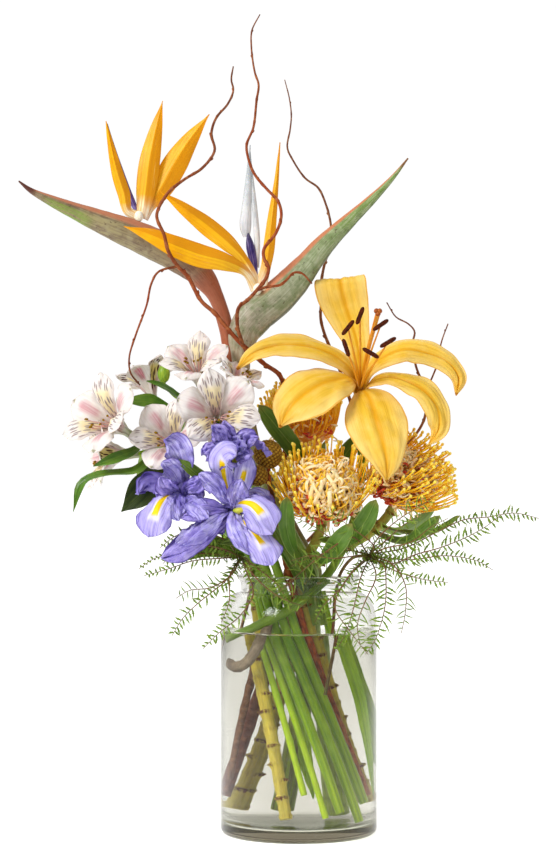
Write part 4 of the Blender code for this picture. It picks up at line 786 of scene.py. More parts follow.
lilySkin = tissue("waxy lily tepal", {                    # apricot yellow, golden along the midrib
    "stops": [(0, "#b07c04"), (0.12, "#dca408"), (0.4, "#efc034"), (0.8, "#efc44c"), (1, "#e2ac38")],
    "streak": ("#e0ac1c", 1, 60, 0.5), "patch": ("#f6d272", 10, 0.4), "edge": ("#f8d884", 0.4, 0.75),
    "rib": ("#e0a000", 0.2, 0.9), "back": ("#e2b44c", 0.4), "rough": 0.42, "relief": 0.55, "glow": 0.08,
    "shine": 0.3}, lambda tree, along, across, side, laid, streak: [
        (band(tree, along, 0.985, 2, 0.01), "#c07a1c"), (band(tree, side, 0.96, 2, 0.03), "#e8b048"),
        # deeper gold at the throat: partly the tepal's own colour, partly painted shade in the hollow of the flower
        (zone(tree, (along, -1, 0.14, 0.1), (side, -1, 0.3, 0.3), 0.7), "#bc8412")])
lilyGreen = tissue("smooth lily stem", {                   # dull olive, greyer towards the cut
    "stops": [(0, "#86944c"), (0.04, "#6c8c24"), (0.5, "#5c7c1c"), (1, "#789a36")],
    "streak": ("#98b040", 1, 30, 0.5), "patch": ("#4c6c14", 14, 0.5), "rough": 0.38, "relief": 0.2,
    "glow": 0.08, "shine": 0.35})
styleSkin = tissue("golden style and filaments", {
    "stops": [(0, "#d59508"), (0.6, "#de901b"), (1, "#d17d28")], "streak": ("#efbb48", 0.8, 14, 0.4),
    "patch": ("#bf720b", 6, 0.3), "rough": 0.4, "relief": 0.08, "glow": 0.1})
pollenSkin = tissue("pollen-covered anther", {            # matt dark rust, lighter where the grains sit
    "stops": [(0, "#471605"), (0.5, "#370e03"), (1, "#471605")], "streak": ("#78320b", 0.5, 3, 0.6),
    "patch": ("#1b0501", 1.2, 0.6), "rough": 0.9, "relief": 0.3})
stigmaSkin = tissue("sticky stigma", {
    "stops": [(0, "#bf671f"), (1, "#99461f")], "streak": ("#7a3216", 0.7, 3, 0.5),
    "patch": ("#d17f3d", 2, 0.4), "rough": 0.35, "relief": 0.15})


def buildLily():
    base = seen(*lily["base"])
    shapes = [pebble(base, 4.5, 10, 16, axis=(0, -0.3, 1))]
    for k, (face, knots) in enumerate(lily["tepals"].values()):
        whole = fromHeart(base, 3, 4, placed(knots))
        shapes.append(petal(whole, face=face, across=None if face else (1, 0, 0.12), seed=k + 20,
                            rows=84, columns=40, cup=-0.13 if face else 0.03, furrow=1.4 if face else 0.5,
                            ruffle=1.5 if face else 0.4, waves=2.6, tip=0.1, thick=0.8,
                            crumple=1.1 if face else 0.3, pleats=(7, 0.2)))
    newPiece("lilyTepals", shapes, [lilySkin], "lily_petal", "lily_tepals")

    throat = lily["throat"]
    tipPlace = seen(*lily["pistil"])
    shapes = [tube(placed([(*throat, 1.8), (52, -22, 362, 1.5), (*lily["pistil"], 1.9)]), 14, 30),
              pebble(seen(*throat), 2.6, 8, 14, axis=(0, -0.5, 1))]
    for k in range(3):      # a three-lobed stigma
        out = np.array((math.cos(k * math.tau / 3 + 0.5), 0, math.sin(k * math.tau / 3 + 0.5)))
        shapes.append(pebble(tipPlace + out * 1.5 + (0, -0.6, 0.8), 2, 8, 12, paint=2, axis=out, stretch=0.9))
    thick, slim, fine = lily["filament"]
    for k, ((x, y, z), lie) in enumerate(lily["stamens"]):
        middle = ((x + 2 * throat[0]) / 3, (y + throat[1]) / 2 - 2, (z + throat[2]) / 2 - 4)
        shapes.append(tube(placed([(*throat, thick), (*middle, slim), (x, y, z, fine)]), 10, 24, seed=k))
        line = [(*(seen(x, y, z) + unit(lie) * at + np.array(lily["bow"]) * (1 - (at / 7) ** 2)), r)
                for at, r in lily["anther"]]
        shapes.append(tube(line, 14, 22, seed=k, paint=1, form=lambda run, turn: 1 - 0.16 * np.cos(2 * turn) ** 8))
    newPiece("lilyStamens", shapes, [styleSkin, pollenSkin, stigmaSkin], "anther", "lily_stamens")

    top = np.array(base) + (0, 3.9, -3.9)
    line = placed(lily["cutEnd"]) + [(*(top + (0, 3, -8)), 3), (*top, 2.8)]
    newPiece("lilyStem", [tube(line, 18, 120, form=bark(38, 0.03, 4))], [lilyGreen], "green_stem", "lily_stem")
    print("lily made")


buildLily()


# Alstroemeria

umbels = {
    "left": {"place": (-115, -12, 298), "leaves": [
        ((0.2, -0.5, 1), [(-112, -26, 282, 6), (-122, -38, 272, 9), (-146, -42, 269, 10), (-162, -42, 263, 8),
                          (-169, -42, 241, 1.5)]),
        ((0, -1, 0.5), [(-122, -32, 288, 6), (-138, -44, 281, 9), (-154, -46, 275, 2)]),
        ((0.3, -1, 0.3), [(-108, -18, 272, 14), (-118, -24, 256, 22), (-133, -28, 241, 3)]),
        ((-0.4, 1, 0.4), [(-108, 8, 292, 14), (-112, 24, 280, 16), (-122, 34, 262, 2)])]},
    "right": {"place": (-73, -4, 318), "leaves": [
        ((0.2, -0.8, 0.8), [(-95, -2, 316, 10), (-112, -4, 323, 15), (-133, -10, 324, 2)]),
        ((0, -0.6, 1), [(-88, -10, 326, 7), (-102, -14, 335, 9), (-114, -16, 339, 1.5)]),
        ((0, 1, 0.5), [(-78, 14, 312, 12), (-92, 28, 306, 15), (-108, 36, 292, 2)])],
        "bud": [(-92, -2, 327, 1.2), (-101, -2, 337, 1.3), (-101, -2, 340, 3.6), (-101, -2, 346, 4.6),
                (-101, -2, 352, 1.5)]},
}
blooms = {   # umbel, middle, the way it faces, its turn, its size against the largest
    "far_left": ("left", (-147, -34, 313), (-0.55, -0.7, 0.4), 10, 1.12),
    "low_left": ("left", (-148, -14, 284), (-0.95, -0.25, 0), 40, 0.95),
    "middle": ("left", (-98, -40, 298), (-0.2, -0.92, 0.35), -20, 1),
    "back_left": ("left", (-114, 12, 342), (-0.3, 0.35, 0.9), 0, 0.8),
    "front": ("right", (-60, -47, 316), (0.05, -0.97, 0.25), 15, 1.12),
    "top": ("right", (-78, -16, 354), (-0.15, -0.6, 0.78), 0, 0.95),
    "right": ("right", (-44, -26, 343), (0.45, -0.3, 0.85), 20, 0.7),
}
funnels = {   # distance out, height and width of a tepal along its length
    "outer": [(2.2, -33, 2), (3, -22, 3.4), (7, -10, 10), (13.5, -1, 20), (20, 3, 27), (28.5, 3.5, 24)],
    "inner": [(1.2, -33, 2), (2, -22, 3.2), (5.5, -10, 7.5), (12, 2, 15), (19.5, 7, 19.5), (28, 8.5, 13)],
}
bloomForm = {"depth": 33, "neck": 3, "thread": 0.4, "anther": 0.95, "firstThread": 200, "nextThread": 28}


def outerMarks(tree, along, across, side, laid, streak):
    # a feathered pink flame up the middle and a green tip
    flame = zone(tree, (along, 0.62, 0.8, 0.1), (side, -1, 0.16, 0.3))
    feathered = addNode(tree, "MapRange", {0: streak, **span(0.3, 0.62, 0.35)})
    return [(both(tree, flame, feathered), "#c4647a"),
            (zone(tree, (along, 0.975, 2, 0.02), (side, -1, 0.2, 0.2)), "#848434")]


def innerMarks(tree, along, across, side, laid, streak):
    # a yellow throat with dark maroon dashes 1.9 mm apart, drawn out 12 mm along the tepal
    flat = addNode(tree, "VectorMath", {**times, 0: laid, 1: (1 / 12, 1 / 1.9, 0)})
    cells = addNode(tree, "TexVoronoi", {"voronoi_dimensions": "2D", "Scale": 1, "Randomness": 0.65,
                                         "Vector": flat}).outputs["Distance"]
    dash = addNode(tree, "MapRange", {0: cells, **span(0.24, 0.34, 1, 0)})
    here = zone(tree, (along, 0.36, 0.88, 0.05), (side, -1, 0.78, 0.15))
    faint = addNode(tree, "Math", {**times, 0: band(tree, along, 0.3, 0.5, 0.1), 1: 0.5})
    return [(faint, "#cc9098"), (zone(tree, (along, 0.5, 0.72, 0.12), (side, -1, 0.45, 0.4)), "#f0dc94"),
            (both(tree, dash, here), "#480c14")]


tepalLook = {   # thin white flesh, near translucent, faintly veined
    "stops": [(0, "#8ca04c"), (0.16, "#bcc49c"), (0.35, "#e4d8d0"), (0.7, "#f2ece8"), (1, "#ebe3de")],
    "streak": ("#d8ccc6", 1.1, 26, 0.55), "patch": ("#f6f2ee", 8, 0.4), "back": ("#dcd2cc", 0.4), "rough": 0.5,
    # the greyer rim is painted shade that sets the white tepals apart
    "edge": ("#cfc2ba", 0.84, 0.6), "relief": 0.3, "glow": 0.12}
outerTepal = tissue("outer alstroemeria tepal", tepalLook, outerMarks)
innerTepal = tissue("inner alstroemeria tepal", tepalLook, innerMarks)
filamentSkin = tissue("pale filament", {
    "stops": [(0, "#e0bfb4"), (1, "#d19690")], "streak": ("#bf7b7f", 0.5, 6, 0.4), "patch": ("#efdcd5", 4, 0.3),
    "rough": 0.5, "relief": 0.05, "glow": 0.2})
oliveAnther = tissue("ripe olive anther", {
    "stops": [(0, "#78560e"), (1, "#96731a")], "streak": ("#4b3205", 0.4, 2, 0.5), "patch": ("#bc9028", 1.2, 0.4),
    "rough": 0.85, "relief": 0.15})


def bloomShapes(middle, axis, turn, size, seed):
    right, up, axis = localFrame(axis, turn)
    middle = seen(*middle)
    shapes, threads = [], []

    def around(degrees):
        a = math.radians(degrees)
        return right * math.cos(a) + up * math.sin(a)

    for k in range(6):
        inner = k % 2
        out = around(30 + 60 * k)
        knots = [(*(middle + (out * radius + axis * height) * size), width * size)
                 for radius, height, width in funnels["inner" if inner else "outer"]]
        shapes.append(petal(knots, across=np.cross(axis, out), seed=seed + k, rows=40, columns=18,
                            cup=0.3 if inner else 0.16, ruffle=1.2, waves=2.6, tip=0.24 if inner else 0.3,
                            thick=0.45, furrow=0.7, crumple=0.9, paint=inner))
    base = middle - axis * (bloomForm["depth"] - 1) * size
    shapes.append(pebble(base, bloomForm["neck"], 10, 18, paint=2, axis=axis, stretch=1.1,
                         form=lambda run, turn: 1 + 0.08 * np.cos(6 * turn)))
    draw = np.random.default_rng(seed)
    for k in range(6):      # six filaments sweep down the throat, each with its anther
        out = around(bloomForm["firstThread"] + bloomForm["nextThread"] * k)
        start = middle - axis * 20 * size + out * 1.2
        end = middle + (out * draw.uniform(6, 11) + axis * draw.uniform(1, 6)) * size
        line = bezier((start, start + axis * 12 * size, end - axis * 6 * size, end), 12)
        threads.append(tube([(*p, bloomForm["thread"]) for p in line], 6, seed=k))
        threads.append(pebble(end + axis * 0.8, bloomForm["anther"], 6, 8, seed=k, paint=1, axis=unit(out + axis),
                              stretch=1.7))
    return shapes, threads


def buildAlstroemerias():
    threads = []
    for k, (name, (_, middle, axis, turn, size)) in enumerate(blooms.items()):
        shapes, more = bloomShapes(middle, axis, turn, size, 40 + 9 * k)
        threads += more
        newPiece("alstroemeriaBloom_" + name, shapes, [outerTepal, innerTepal, greenStem], "white_petal",
                 "alstroemeria_" + name)
    newPiece("alstroemeriaStamens", threads, [filamentSkin, oliveAnther], "anther")
    for side, umbel in umbels.items():
        name = "alstroemeria_" + side
        node = seen(*umbel["place"])
        knots = rise(name, node, (-0.3, 0, 1), 2.2)
        shapes = [tube(knots, 14, form=bark(34, 0.12, 5)), pebble(node, 3.2, 8, 14)]
        for owner, middle, axis, _, size in blooms.values():
            if owner == side:
                back = seen(*middle) - unit(axis) * ((bloomForm["depth"] - 1) * size + bloomForm["neck"])
                bend = back - unit(axis) * 9 * size
                shapes.append(tube([(*node, 1.4), (*bend, 1.3), (*back, 1.5)], 10, 18))
        if "bud" in umbel:
            shapes.append(tube(placed([(*umbel["place"], 1.2)] + umbel["bud"]), 14, 40,
                               form=lambda run, turn: 1 + 0.06 * np.cos(3 * turn)))
        newPiece(name + "Stalks", shapes, [greenStem], "green_stem", name + "_stem")
        leaves = [leafSheet(knots, None, face, line, 70 + k, paint=1 if side == "left" and k == 2 else 0)
                  for k, (face, line) in enumerate(umbel["leaves"])]
        newPiece(name + "Leaves", leaves, [leafFresh, leafDark], "green_stem", name + "_stem")
    print("alstroemerias made")


buildAlstroemerias()


# Dutch iris

irises = {
    "front": {"crests": 9, "base": (-48, -50, 240), "arriving": (-0.5, -0.6, 0.6), "petals": [
        # the way it faces, its cup, 1 for a striped fall, knots
        ((0.2, -1, 0.3), -0.2, 1, [(-46, -70, 247, 8), (-36, -82, 247, 20), (-28, -88, 240, 27),
                                   (-23, -89, 230, 26), (-20, -88, 224, 18)]),
        ((0.2, -1, 0.3), -0.2, 1, [(-44, -68, 236, 7), (-34, -80, 226, 13), (-26, -86, 215, 24),
                                   (-22, -88, 207, 27), (-20, -87, 201, 20)]),
        ((0.1, -1, 0.2), -0.25, 0, [(-48, -66, 240, 8), (-47, -76, 231, 15), (-41, -80, 219, 16),
                                    (-37, -78, 209, 6)]),
        ((0, -1, 0.3), -0.2, 1, [(-52, -64, 252, 7), (-56, -70, 268, 14), (-57, -78, 280, 22), (-52, -84, 285, 23),
                                 (-47, -86, 283, 16)]),
        ((0.3, -1, 0.1), 0.3, 1, [(-46, -62, 252, 8), (-42, -64, 266, 16), (-39, -64, 278, 14),
                                  (-38, -62, 284, 4)]),
        ((0.2, -1, 0), 0.35, 0, [(-48, -68, 248, 8), (-46, -78, 257, 17), (-43, -80, 265, 10)]),
        ((-0.3, -1, 0.3), -0.2, 0, [(-56, -68, 250, 8), (-64, -76, 262, 15), (-74, -80, 269, 10)]),
        ((-0.1, -1, 0.4), -0.2, 0, [(-58, -66, 244, 8), (-70, -73, 245, 17), (-82, -76, 241, 17),
                                    (-91, -76, 237, 6)]),
        ((0, -1, 0.5), 0.2, 0, [(-40, -54, 248, 8), (-33, -52, 252, 15), (-26, -50, 247, 17), (-21, -50, 240, 5)]),
        ((-0.4, -1, 0.5), -0.4, 0, [(-58, -68, 240, 8), (-70, -75, 231, 17), (-82, -79, 223, 18),
                                    (-92, -80, 217, 14)]),
        ((-0.3, -1, 0.1), -0.5, 0, [(-58, -66, 234, 8), (-70, -72, 225, 14), (-84, -76, 216, 17),
                                    (-96, -78, 209, 16), (-103, -77, 206, 10)])],
        "bud": [(-56, -60, 238, 3), (-66, -66, 232, 6), (-78, -71, 223, 7), (-91, -75, 215, 5.5),
                (-102, -77, 208, 1.2)],
        "leaves": [(206, (0, -1, 0.4), [(-32, -42, 214, 13), (-44, -54, 220, 13), (-60, -60, 217, 2)])]},
    "left": {"crests": 7, "base": (-84, -48, 250), "arriving": (-0.7, -0.5, 0.5), "petals": [
        ((-0.3, -1, 0.3), -0.2, 1, [(-96, -64, 254, 8), (-103, -76, 249, 16), (-108, -83, 239, 25),
                                    (-111, -85, 230, 28), (-112, -83, 222, 20)]),
        ((-0.2, -1, 0), 0.3, 0, [(-94, -62, 257, 8), (-101, -74, 261, 15), (-104, -76, 267, 7)]),
        ((0, -1, 0.3), -0.2, 0, [(-89, -60, 262, 9), (-95, -69, 272, 19), (-102, -75, 277, 9)]),
        ((0, -1, 0.2), 0.2, 0, [(-86, -58, 268, 9), (-88, -63, 282, 19), (-94, -66, 292, 21),
                                (-101, -69, 295, 7)]),
        ((0.1, -1, 0), 0.3, 0, [(-84, -62, 258, 8), (-76, -66, 262, 13), (-70, -64, 268, 5)]),
        ((0.2, -1, 0.4), -0.2, 0, [(-86, -64, 252, 8), (-80, -74, 248, 15), (-73, -78, 241, 16),
                                   (-68, -78, 236, 8)]),
        ((0, -1, 0.4), -0.2, 0, [(-90, -62, 254, 8), (-92, -74, 248, 14), (-92, -78, 240, 14),
                                 (-90, -78, 234, 6)]),
        ((-0.6, 1, 0.3), 0.2, 0, [(-94, -44, 256, 8), (-104, -38, 262, 16), (-114, -38, 262, 16),
                                  (-121, -42, 254, 4)])],
        "leaves": [(210, (0.3, -1, 0.3), [(-58, -32, 214, 15), (-74, -42, 214, 16), (-90, -50, 203, 2)])]},
    "top": {"crests": 9, "base": (-50, -58, 282), "arriving": (-0.3, -0.5, 0.8), "petals": [
        ((0, -1, 0.3), 0.25, 0, [(-55, -67, 290, 9), (-60, -74, 300, 15), (-65, -77, 306, 6)]),
        ((0.2, -1, 0.2), 0.25, 0, [(-46, -66, 290, 9), (-38, -71, 296, 15), (-30, -71, 297, 5)]),
        ((0, -1, 0), 0.3, 0, [(-51, -65, 291, 8), (-54, -70, 302, 12), (-56, -72, 309, 4)]),
        ((0.3, 0.3, 1), 0.2, 0, [(-46, -55, 288, 8), (-36, -52, 293, 15), (-27, -53, 290, 12),
                                 (-22, -57, 283, 3)]),
        ((-0.2, -1, 0.4), -0.2, 0, [(-56, -64, 286, 8), (-66, -65, 288, 14), (-73, -67, 284, 5)])],
        "leaves": [(232, (0.2, -1, 0.4), [(-60, -52, 258, 8), (-76, -61, 269, 9), (-85, -64, 276, 8),
                                          (-94, -64, 281, 2)])]},
}


def irisMarks(tree, along, across, side, laid, streak):
    # falls are paler, and carry a yellow signal edged with white; broad clouds of painted shade in deep violet cross
    # every petal
    marked = addNode(tree, "Attribute", {"attribute_name": "mark"}).outputs["Fac"]
    place = addNode(tree, "TexCoord").outputs["Object"]
    cloud = addNode(tree, "TexNoise", {"Scale": 1 / (19 * mm), "Detail": 1, "Vector": place})
    cloudShade = addNode(tree, "MapRange", {0: cloud, **span(0.5, 0.64, 0, 0.6)})
    veins = addNode(tree, "MapRange", {0: streak, **span(0.5, 0.6, 0, 0.4)})
    coats = [(cloudShade, "#54449c"), (both(tree, marked, band(tree, side, -1, 0.6, 0.3), 0.75), "#bcb2ee"),
             (veins, "#5c4cac")]
    for low, high, width, soft, code in ((0.28, 0.76, 0.26, 0.2, "#dcd8f8"), (0.34, 0.7, 0.19, 0.05, "#fad000")):
        signal = zone(tree, (along, low, high, 0.06), (side, -1, width, soft))
        coats.append((both(tree, signal, marked), code))
    return coats


irisSkin = tissue("veined iris petal", {                  # lilac with darker veins and inky edges
    "stops": [(0, "#8c8a3c"), (0.08, "#8878bc"), (0.2, "#9486d2"), (0.55, "#b4aaec"), (1, "#c2b8f2")],
    "streak": ("#5c48ac", 0.9, 40, 0.45), "patch": ("#dcd8fa", 6, 0.7), "edge": ("#3c2c88", 0.88, 0.9),
    "rib": ("#6858a8", 0.05, 0.5), "back": ("#7a6cc0", 0.6), "rough": 0.45, "relief": 0.6, "glow": 0.08,
    "shine": 0.3}, irisMarks)
# a darker copy of the iris petal: partly the deeper violet of folded petals and the bud, partly painted shade
irisFoldShade = tissue("iris petal deep violet with painted fold shade", {                   # deep violet where petals lie in folds
    "stops": [(0, "#8070b8"), (0.3, "#8676c6"), (0.7, "#a092dc"), (1, "#aa9ce2")],
    "streak": ("#4c389c", 0.9, 30, 0.5), "patch": ("#c0b4ec", 7, 0.6), "edge": ("#402e88", 0.85, 0.9),
    "rib": ("#58489c", 0.05, 0.5), "back": ("#6456a8", 0.6), "rough": 0.45, "relief": 0.7, "glow": 0.05,
    "shine": 0.3})
irisHeart = tissue("yellow green iris heart", {
    "stops": [(0, "#8ea026"), (0.5, "#c4c030"), (1, "#dccf48")], "streak": ("#98962a", 0.9, 8, 0.5),
    "patch": ("#e4e088", 3, 0.4), "rough": 0.4, "relief": 0.2, "glow": 0.1})


def buildIris(name):
    look = irises[name]
    base = seen(*look["base"])
    shapes = [pebble(base, 5, 10, 16, paint=1)]
    if name == "front":     # its heart shows between the petals
        shapes.append(pebble(base + (4, -27, 3), 2, 8, 14, paint=1, axis=(1, -0.3, 0.1), stretch=2.6))
        shapes.append(tube([(*base, 2.5), (*(base + (4, -26, 2.5)), 1.6)], 10, 8, paint=1))
    for k, (face, cup, striped, knots) in enumerate(look["petals"]):
        whole = fromHeart(base, 3.6, 3, placed(knots))
        # some unstriped petals take the darker violet copy with its painted shade, as do every second crest and the
        # bud
        shapes.append(petal(whole, face=face, seed=len(name) * 10 + k, mark=float(striped), rows=44, columns=20,
                            cup=cup, ruffle=2 if striped else 3, waves=3.8, crumple=1.3 if striped else 2.6,
                            tip=0.22, thick=0.5, furrow=0.6, pleats=(6, 0.3),
                            paint=2 if not striped and (name == "top" or k % 3 == 1) else 0))
    draw = np.random.default_rng(len(name))
    for k in range(look["crests"]):     # crumpled crests fill the middle
        out = unit((draw.uniform(-1, 0.8), draw.uniform(-1, -0.1), draw.uniform(-0.4, 1)))
        lie = unit(np.cross(out, draw.normal(size=3)))
        reach = draw.uniform(16, 25)
        knots = [(*(base + out * reach * t + lie * reach * 0.25 * t * t), width)
                 for t, width in ((0.15, 3), (0.45, 9), (0.8, 14), (1, 11))]
        shapes.append(petal(knots, face=unit(lie + (0, -0.8, 0.3)), seed=300 + k, rows=30, columns=18, cup=0.3,
                            ruffle=3.2, waves=3.2, crumple=2.4, tip=0.3, thick=0.45, paint=2 if k % 2 else 0))
    if "bud" in look:
        shapes.append(tube([(*base, 3)] + placed(look["bud"]), 20, 50, paint=2,
                           form=lambda run, turn: 1 + 0.14 * np.cos(5 * turn + run / 9) + 0.06 * np.cos(2 * turn)))
    newPiece(name + "IrisPetals", shapes, [irisSkin, irisHeart, irisFoldShade], "iris_petal", f"iris_{name}_petals")
    arriving = unit(look["arriving"])
    top = base - arriving * (5 + 2 * gap)
    knots = rise("iris_" + name, top, arriving, 2.6)
    green = [tube(knots, 18, form=bark(60, 0.05, 6))]
    green += [leafSheet(knots, height, face, line, 90 + k, cup=0.25, paint=1)
              for k, (height, face, line) in enumerate(look["leaves"])]
    newPiece(name + "IrisStem", green, [irisStem, leafGreen], "green_stem", f"iris_{name}_stem")


for flower in irises:
    buildIris(flower)
print("irises made")


# Pincushion protea

heads = {   # core is the felted body, reach the length of the styles; closed: where they are still in loops, how far
    "front": {"middle": (18, -34, 254), "axis": (0, -0.45, 0.9), "core": 19.5, "reach": 33,
              "closed": ((0.3, -0.85, 0.4), 1.25), "lean": 0.5, "sweep": (-0.05, 0, 0.2),
              "red": 0.38, "wool": 1, "cream": 0.3, "leaves": [
        (206, (0, -1, 0.3), [(-4, -42, 212, 8), (-9, -60, 230, 12), (-9, -66, 252, 12)]),
        (222, (0.1, -1, 0.2), [(34, -46, 219, 9), (48, -60, 231, 14), (58, -66, 250, 14)]),
        (212, (0, -1, 0.2), [(18, -48, 206, 9), (29, -66, 217, 14), (40, -70, 232, 13)])]},
    "right": {"middle": (78, -2, 262), "axis": (0.35, -0.35, 0.85), "core": 19, "reach": 32,
              "closed": ((-0.5, -0.55, 0.6), 0.75), "lean": 0.3, "sweep": (0.5, -0.1, 0.1),
              "red": 0.38, "wool": 1, "cream": 0.75, "leaves": [
        (226, (0, -0.8, 0.7), [(78, -30, 219, 10), (92, -42, 225, 12), (106, -46, 238, 11)]),
        (230, (0, -0.5, 1), [(92, -14, 224, 9), (107, -22, 228, 11), (121, -28, 238, 9)]),
        (228, (0.2, 0.7, 0.7), [(76, 26, 226, 12), (92, 36, 234, 14), (104, 42, 246, 3)])]},
    "back": {"middle": (4, 34, 304), "axis": (-0.1, 0.15, 1), "core": 18, "reach": 31,
             "closed": ((0, 0, 1), 0), "lean": 0.9, "sweep": (0, 0, 0.1),
             "red": 0.05, "wool": 0.12, "cream": 0, "leaves": [
        (262, (-0.2, -1, 0.3), [(2, 4, 270, 9), (-1, -9, 284, 13), (-15, -12, 303, 15), (-30, -13, 321, 13)]),
        (262, (0, 1, 0.3), [(8, 52, 268, 12), (14, 66, 278, 15), (20, 72, 294, 3)]),
        (258, (0.2, -1, 0.3), [(24, 22, 272, 8), (38, 16, 288, 12), (50, 12, 304, 4)]),
        (256, (-0.5, 1, 0.3), [(-26, 42, 262, 12), (-40, 52, 270, 14), (-50, 56, 284, 3)])]},
}
pinning = {"pins": 235, "loops": 2, "hairs": 560, "radius": 0.55, "cover": 1.55, "longer": 1.36,
           "cream": {"climb": (12, 22), "thick": (1.8, 3), "flat": 0.25, "paint": 2},     # the two kinds of loop
           "golden": {"climb": (7, 20), "thick": (0.9, 1.5), "flat": 0.7, "paint": 1},
           "style": [1.2, 1.1, 1.05] + [0.95] * 14 + [1.3, 2.4, 1.4],      # thickness from root to knob
           "pocket": [1.1, 1.2, 1.3, 1.5, 1.6, 1.4, 1, 0.5], "hair": [1.2, 1.2, 1.1, 1.1, 1, 0.9, 0.7, 0.4]}

pinSkin = tissue("glossy pincushion style", {             # orange at the root, golden at the knob
    "stops": [(0, "#fc9c20"), (0.2, "#ffb41c"), (0.6, "#ffc01c"), (0.86, "#ffd024"), (1, "#ffe468")],
    "streak": ("#ffd840", 0.5, 7, 0.4), "patch": ("#fc9c0c", 5, 0.4), "rough": 0.35, "relief": 0.05,
    "glow": 0.45, "shine": 0.35})
loopSkin = tissue("unopened golden style", {
    "stops": [(0, "#f8a008"), (0.3, "#ffb80c"), (0.8, "#ffcc20"), (1, "#fcdc80")],
    "streak": ("#fff0a0", 1, 12, 0.4), "patch": ("#f49804", 6, 0.5), "rough": 0.38, "relief": 0.05, "glow": 0.3})
woolSkin = tissue("curled floret wool", {                 # cream hairs, amber at their roots
    "stops": [(0, "#f49c1c"), (0.3, "#fcd070"), (1, "#fff4d4")], "streak": ("#fff8e8", 0.6, 8, 0.4),
    "patch": ("#fcc050", 6, 0.5), "rough": 0.8, "relief": 0.05, "glow": 0.3})
pocketSkin = tissue("red floret pocket", {                # the open florets' curled backs
    "stops": [(0, "#9c140c"), (0.5, "#cc2c18"), (1, "#d8502c")], "streak": ("#f0a068", 0.5, 4, 0.3),
    "patch": ("#a81c10", 4, 0.4), "rough": 0.7, "relief": 0.06, "glow": 0.05, "sheen": 0.3})
coreSkin = tissue("felted flower base", {
    "stops": [(0, "#c87828"), (0.5, "#f49c28"), (1, "#fcb83c")], "streak": ("#e07020", 1.5, 4, 0.5),
    "patch": ("#f4d494", 3, 0.5), "rough": 0.85, "relief": 0.8, "sheen": 0.2})


def scars(tree, along, across, side, laid, streak):
    # leaf scars mark one side of the stem at each of its knobs, ragged at their edges
    run, wide, high = addNode(tree, "SeparateXYZ", {0: laid}).outputs
    step = addNode(tree, "MapRange", {0: run, "clamp": False, **span(0, scarring["period"])})
    jitter = addNode(tree, "MapRange", {0: streak, "clamp": False, **span(0, 1, -0.16, 0.16)})
    moved = addNode(tree, "Math", {"operation": "ADD", 0: step, 1: jitter})
    share = addNode(tree, "Math", {"operation": "FRACT", 0: moved})
    ragged = addNode(tree, "MapRange", {0: streak, **span(0.4, 0.55, 0.25)})
    raised = addNode(tree, "Math", {"operation": "ADD", 0: step, 1: scarring["shift"]})
    whole = addNode(tree, "Math", {"operation": "FLOOR", 0: raised})
    turn = addNode(tree, "Math", {**times, 0: whole, 1: scarring["turn"]})
    east = addNode(tree, "Math", {"operation": "COSINE", 0: turn})
    north = addNode(tree, "Math", {"operation": "SINE", 0: turn})
    partial = addNode(tree, "Math", {**times, 0: high, 1: north})
    there = addNode(tree, "Math", {"operation": "MULTIPLY_ADD", 0: wide, 1: east, 2: partial})
    near = addNode(tree, "MapRange", {0: there, **span(-0.4, 1.8, 0.2)})
    return [(both(tree, both(tree, band(tree, share, 0.12, 0.27, 0.06), ragged), near), "#6c3814")]


woodStem = tissue("young protea stem", {                  # tan bark with brown leaf scars
    "stops": [(0, "#d8c454"), (0.4, "#dcc440"), (0.6, "#b0a438"), (1, "#8a9238")],
    "streak": ("#a88c34", 1.6, 22, 0.65), "patch": ("#b0a850", 9, 0.5), "rough": 0.55, "relief": 0.8}, scars)
proteaLeaf = tissue("leathery protea leaf", {             # thick grey green with a red nib
    "stops": [(0, "#7c8e34"), (0.4, "#4a6c1a"), (0.92, "#5a7a28"), (1, "#86803c")],
    "streak": ("#304c18", 1.3, 22, 0.5), "patch": ("#6c8848", 11, 0.45), "edge": ("#9aa25f", 0.9, 0.5),
    "rib": ("#8ca052", 0.06, 0.5), "back": ("#7a8c52", 0.5), "rough": 0.5, "relief": 0.15, "glow": 0.1})


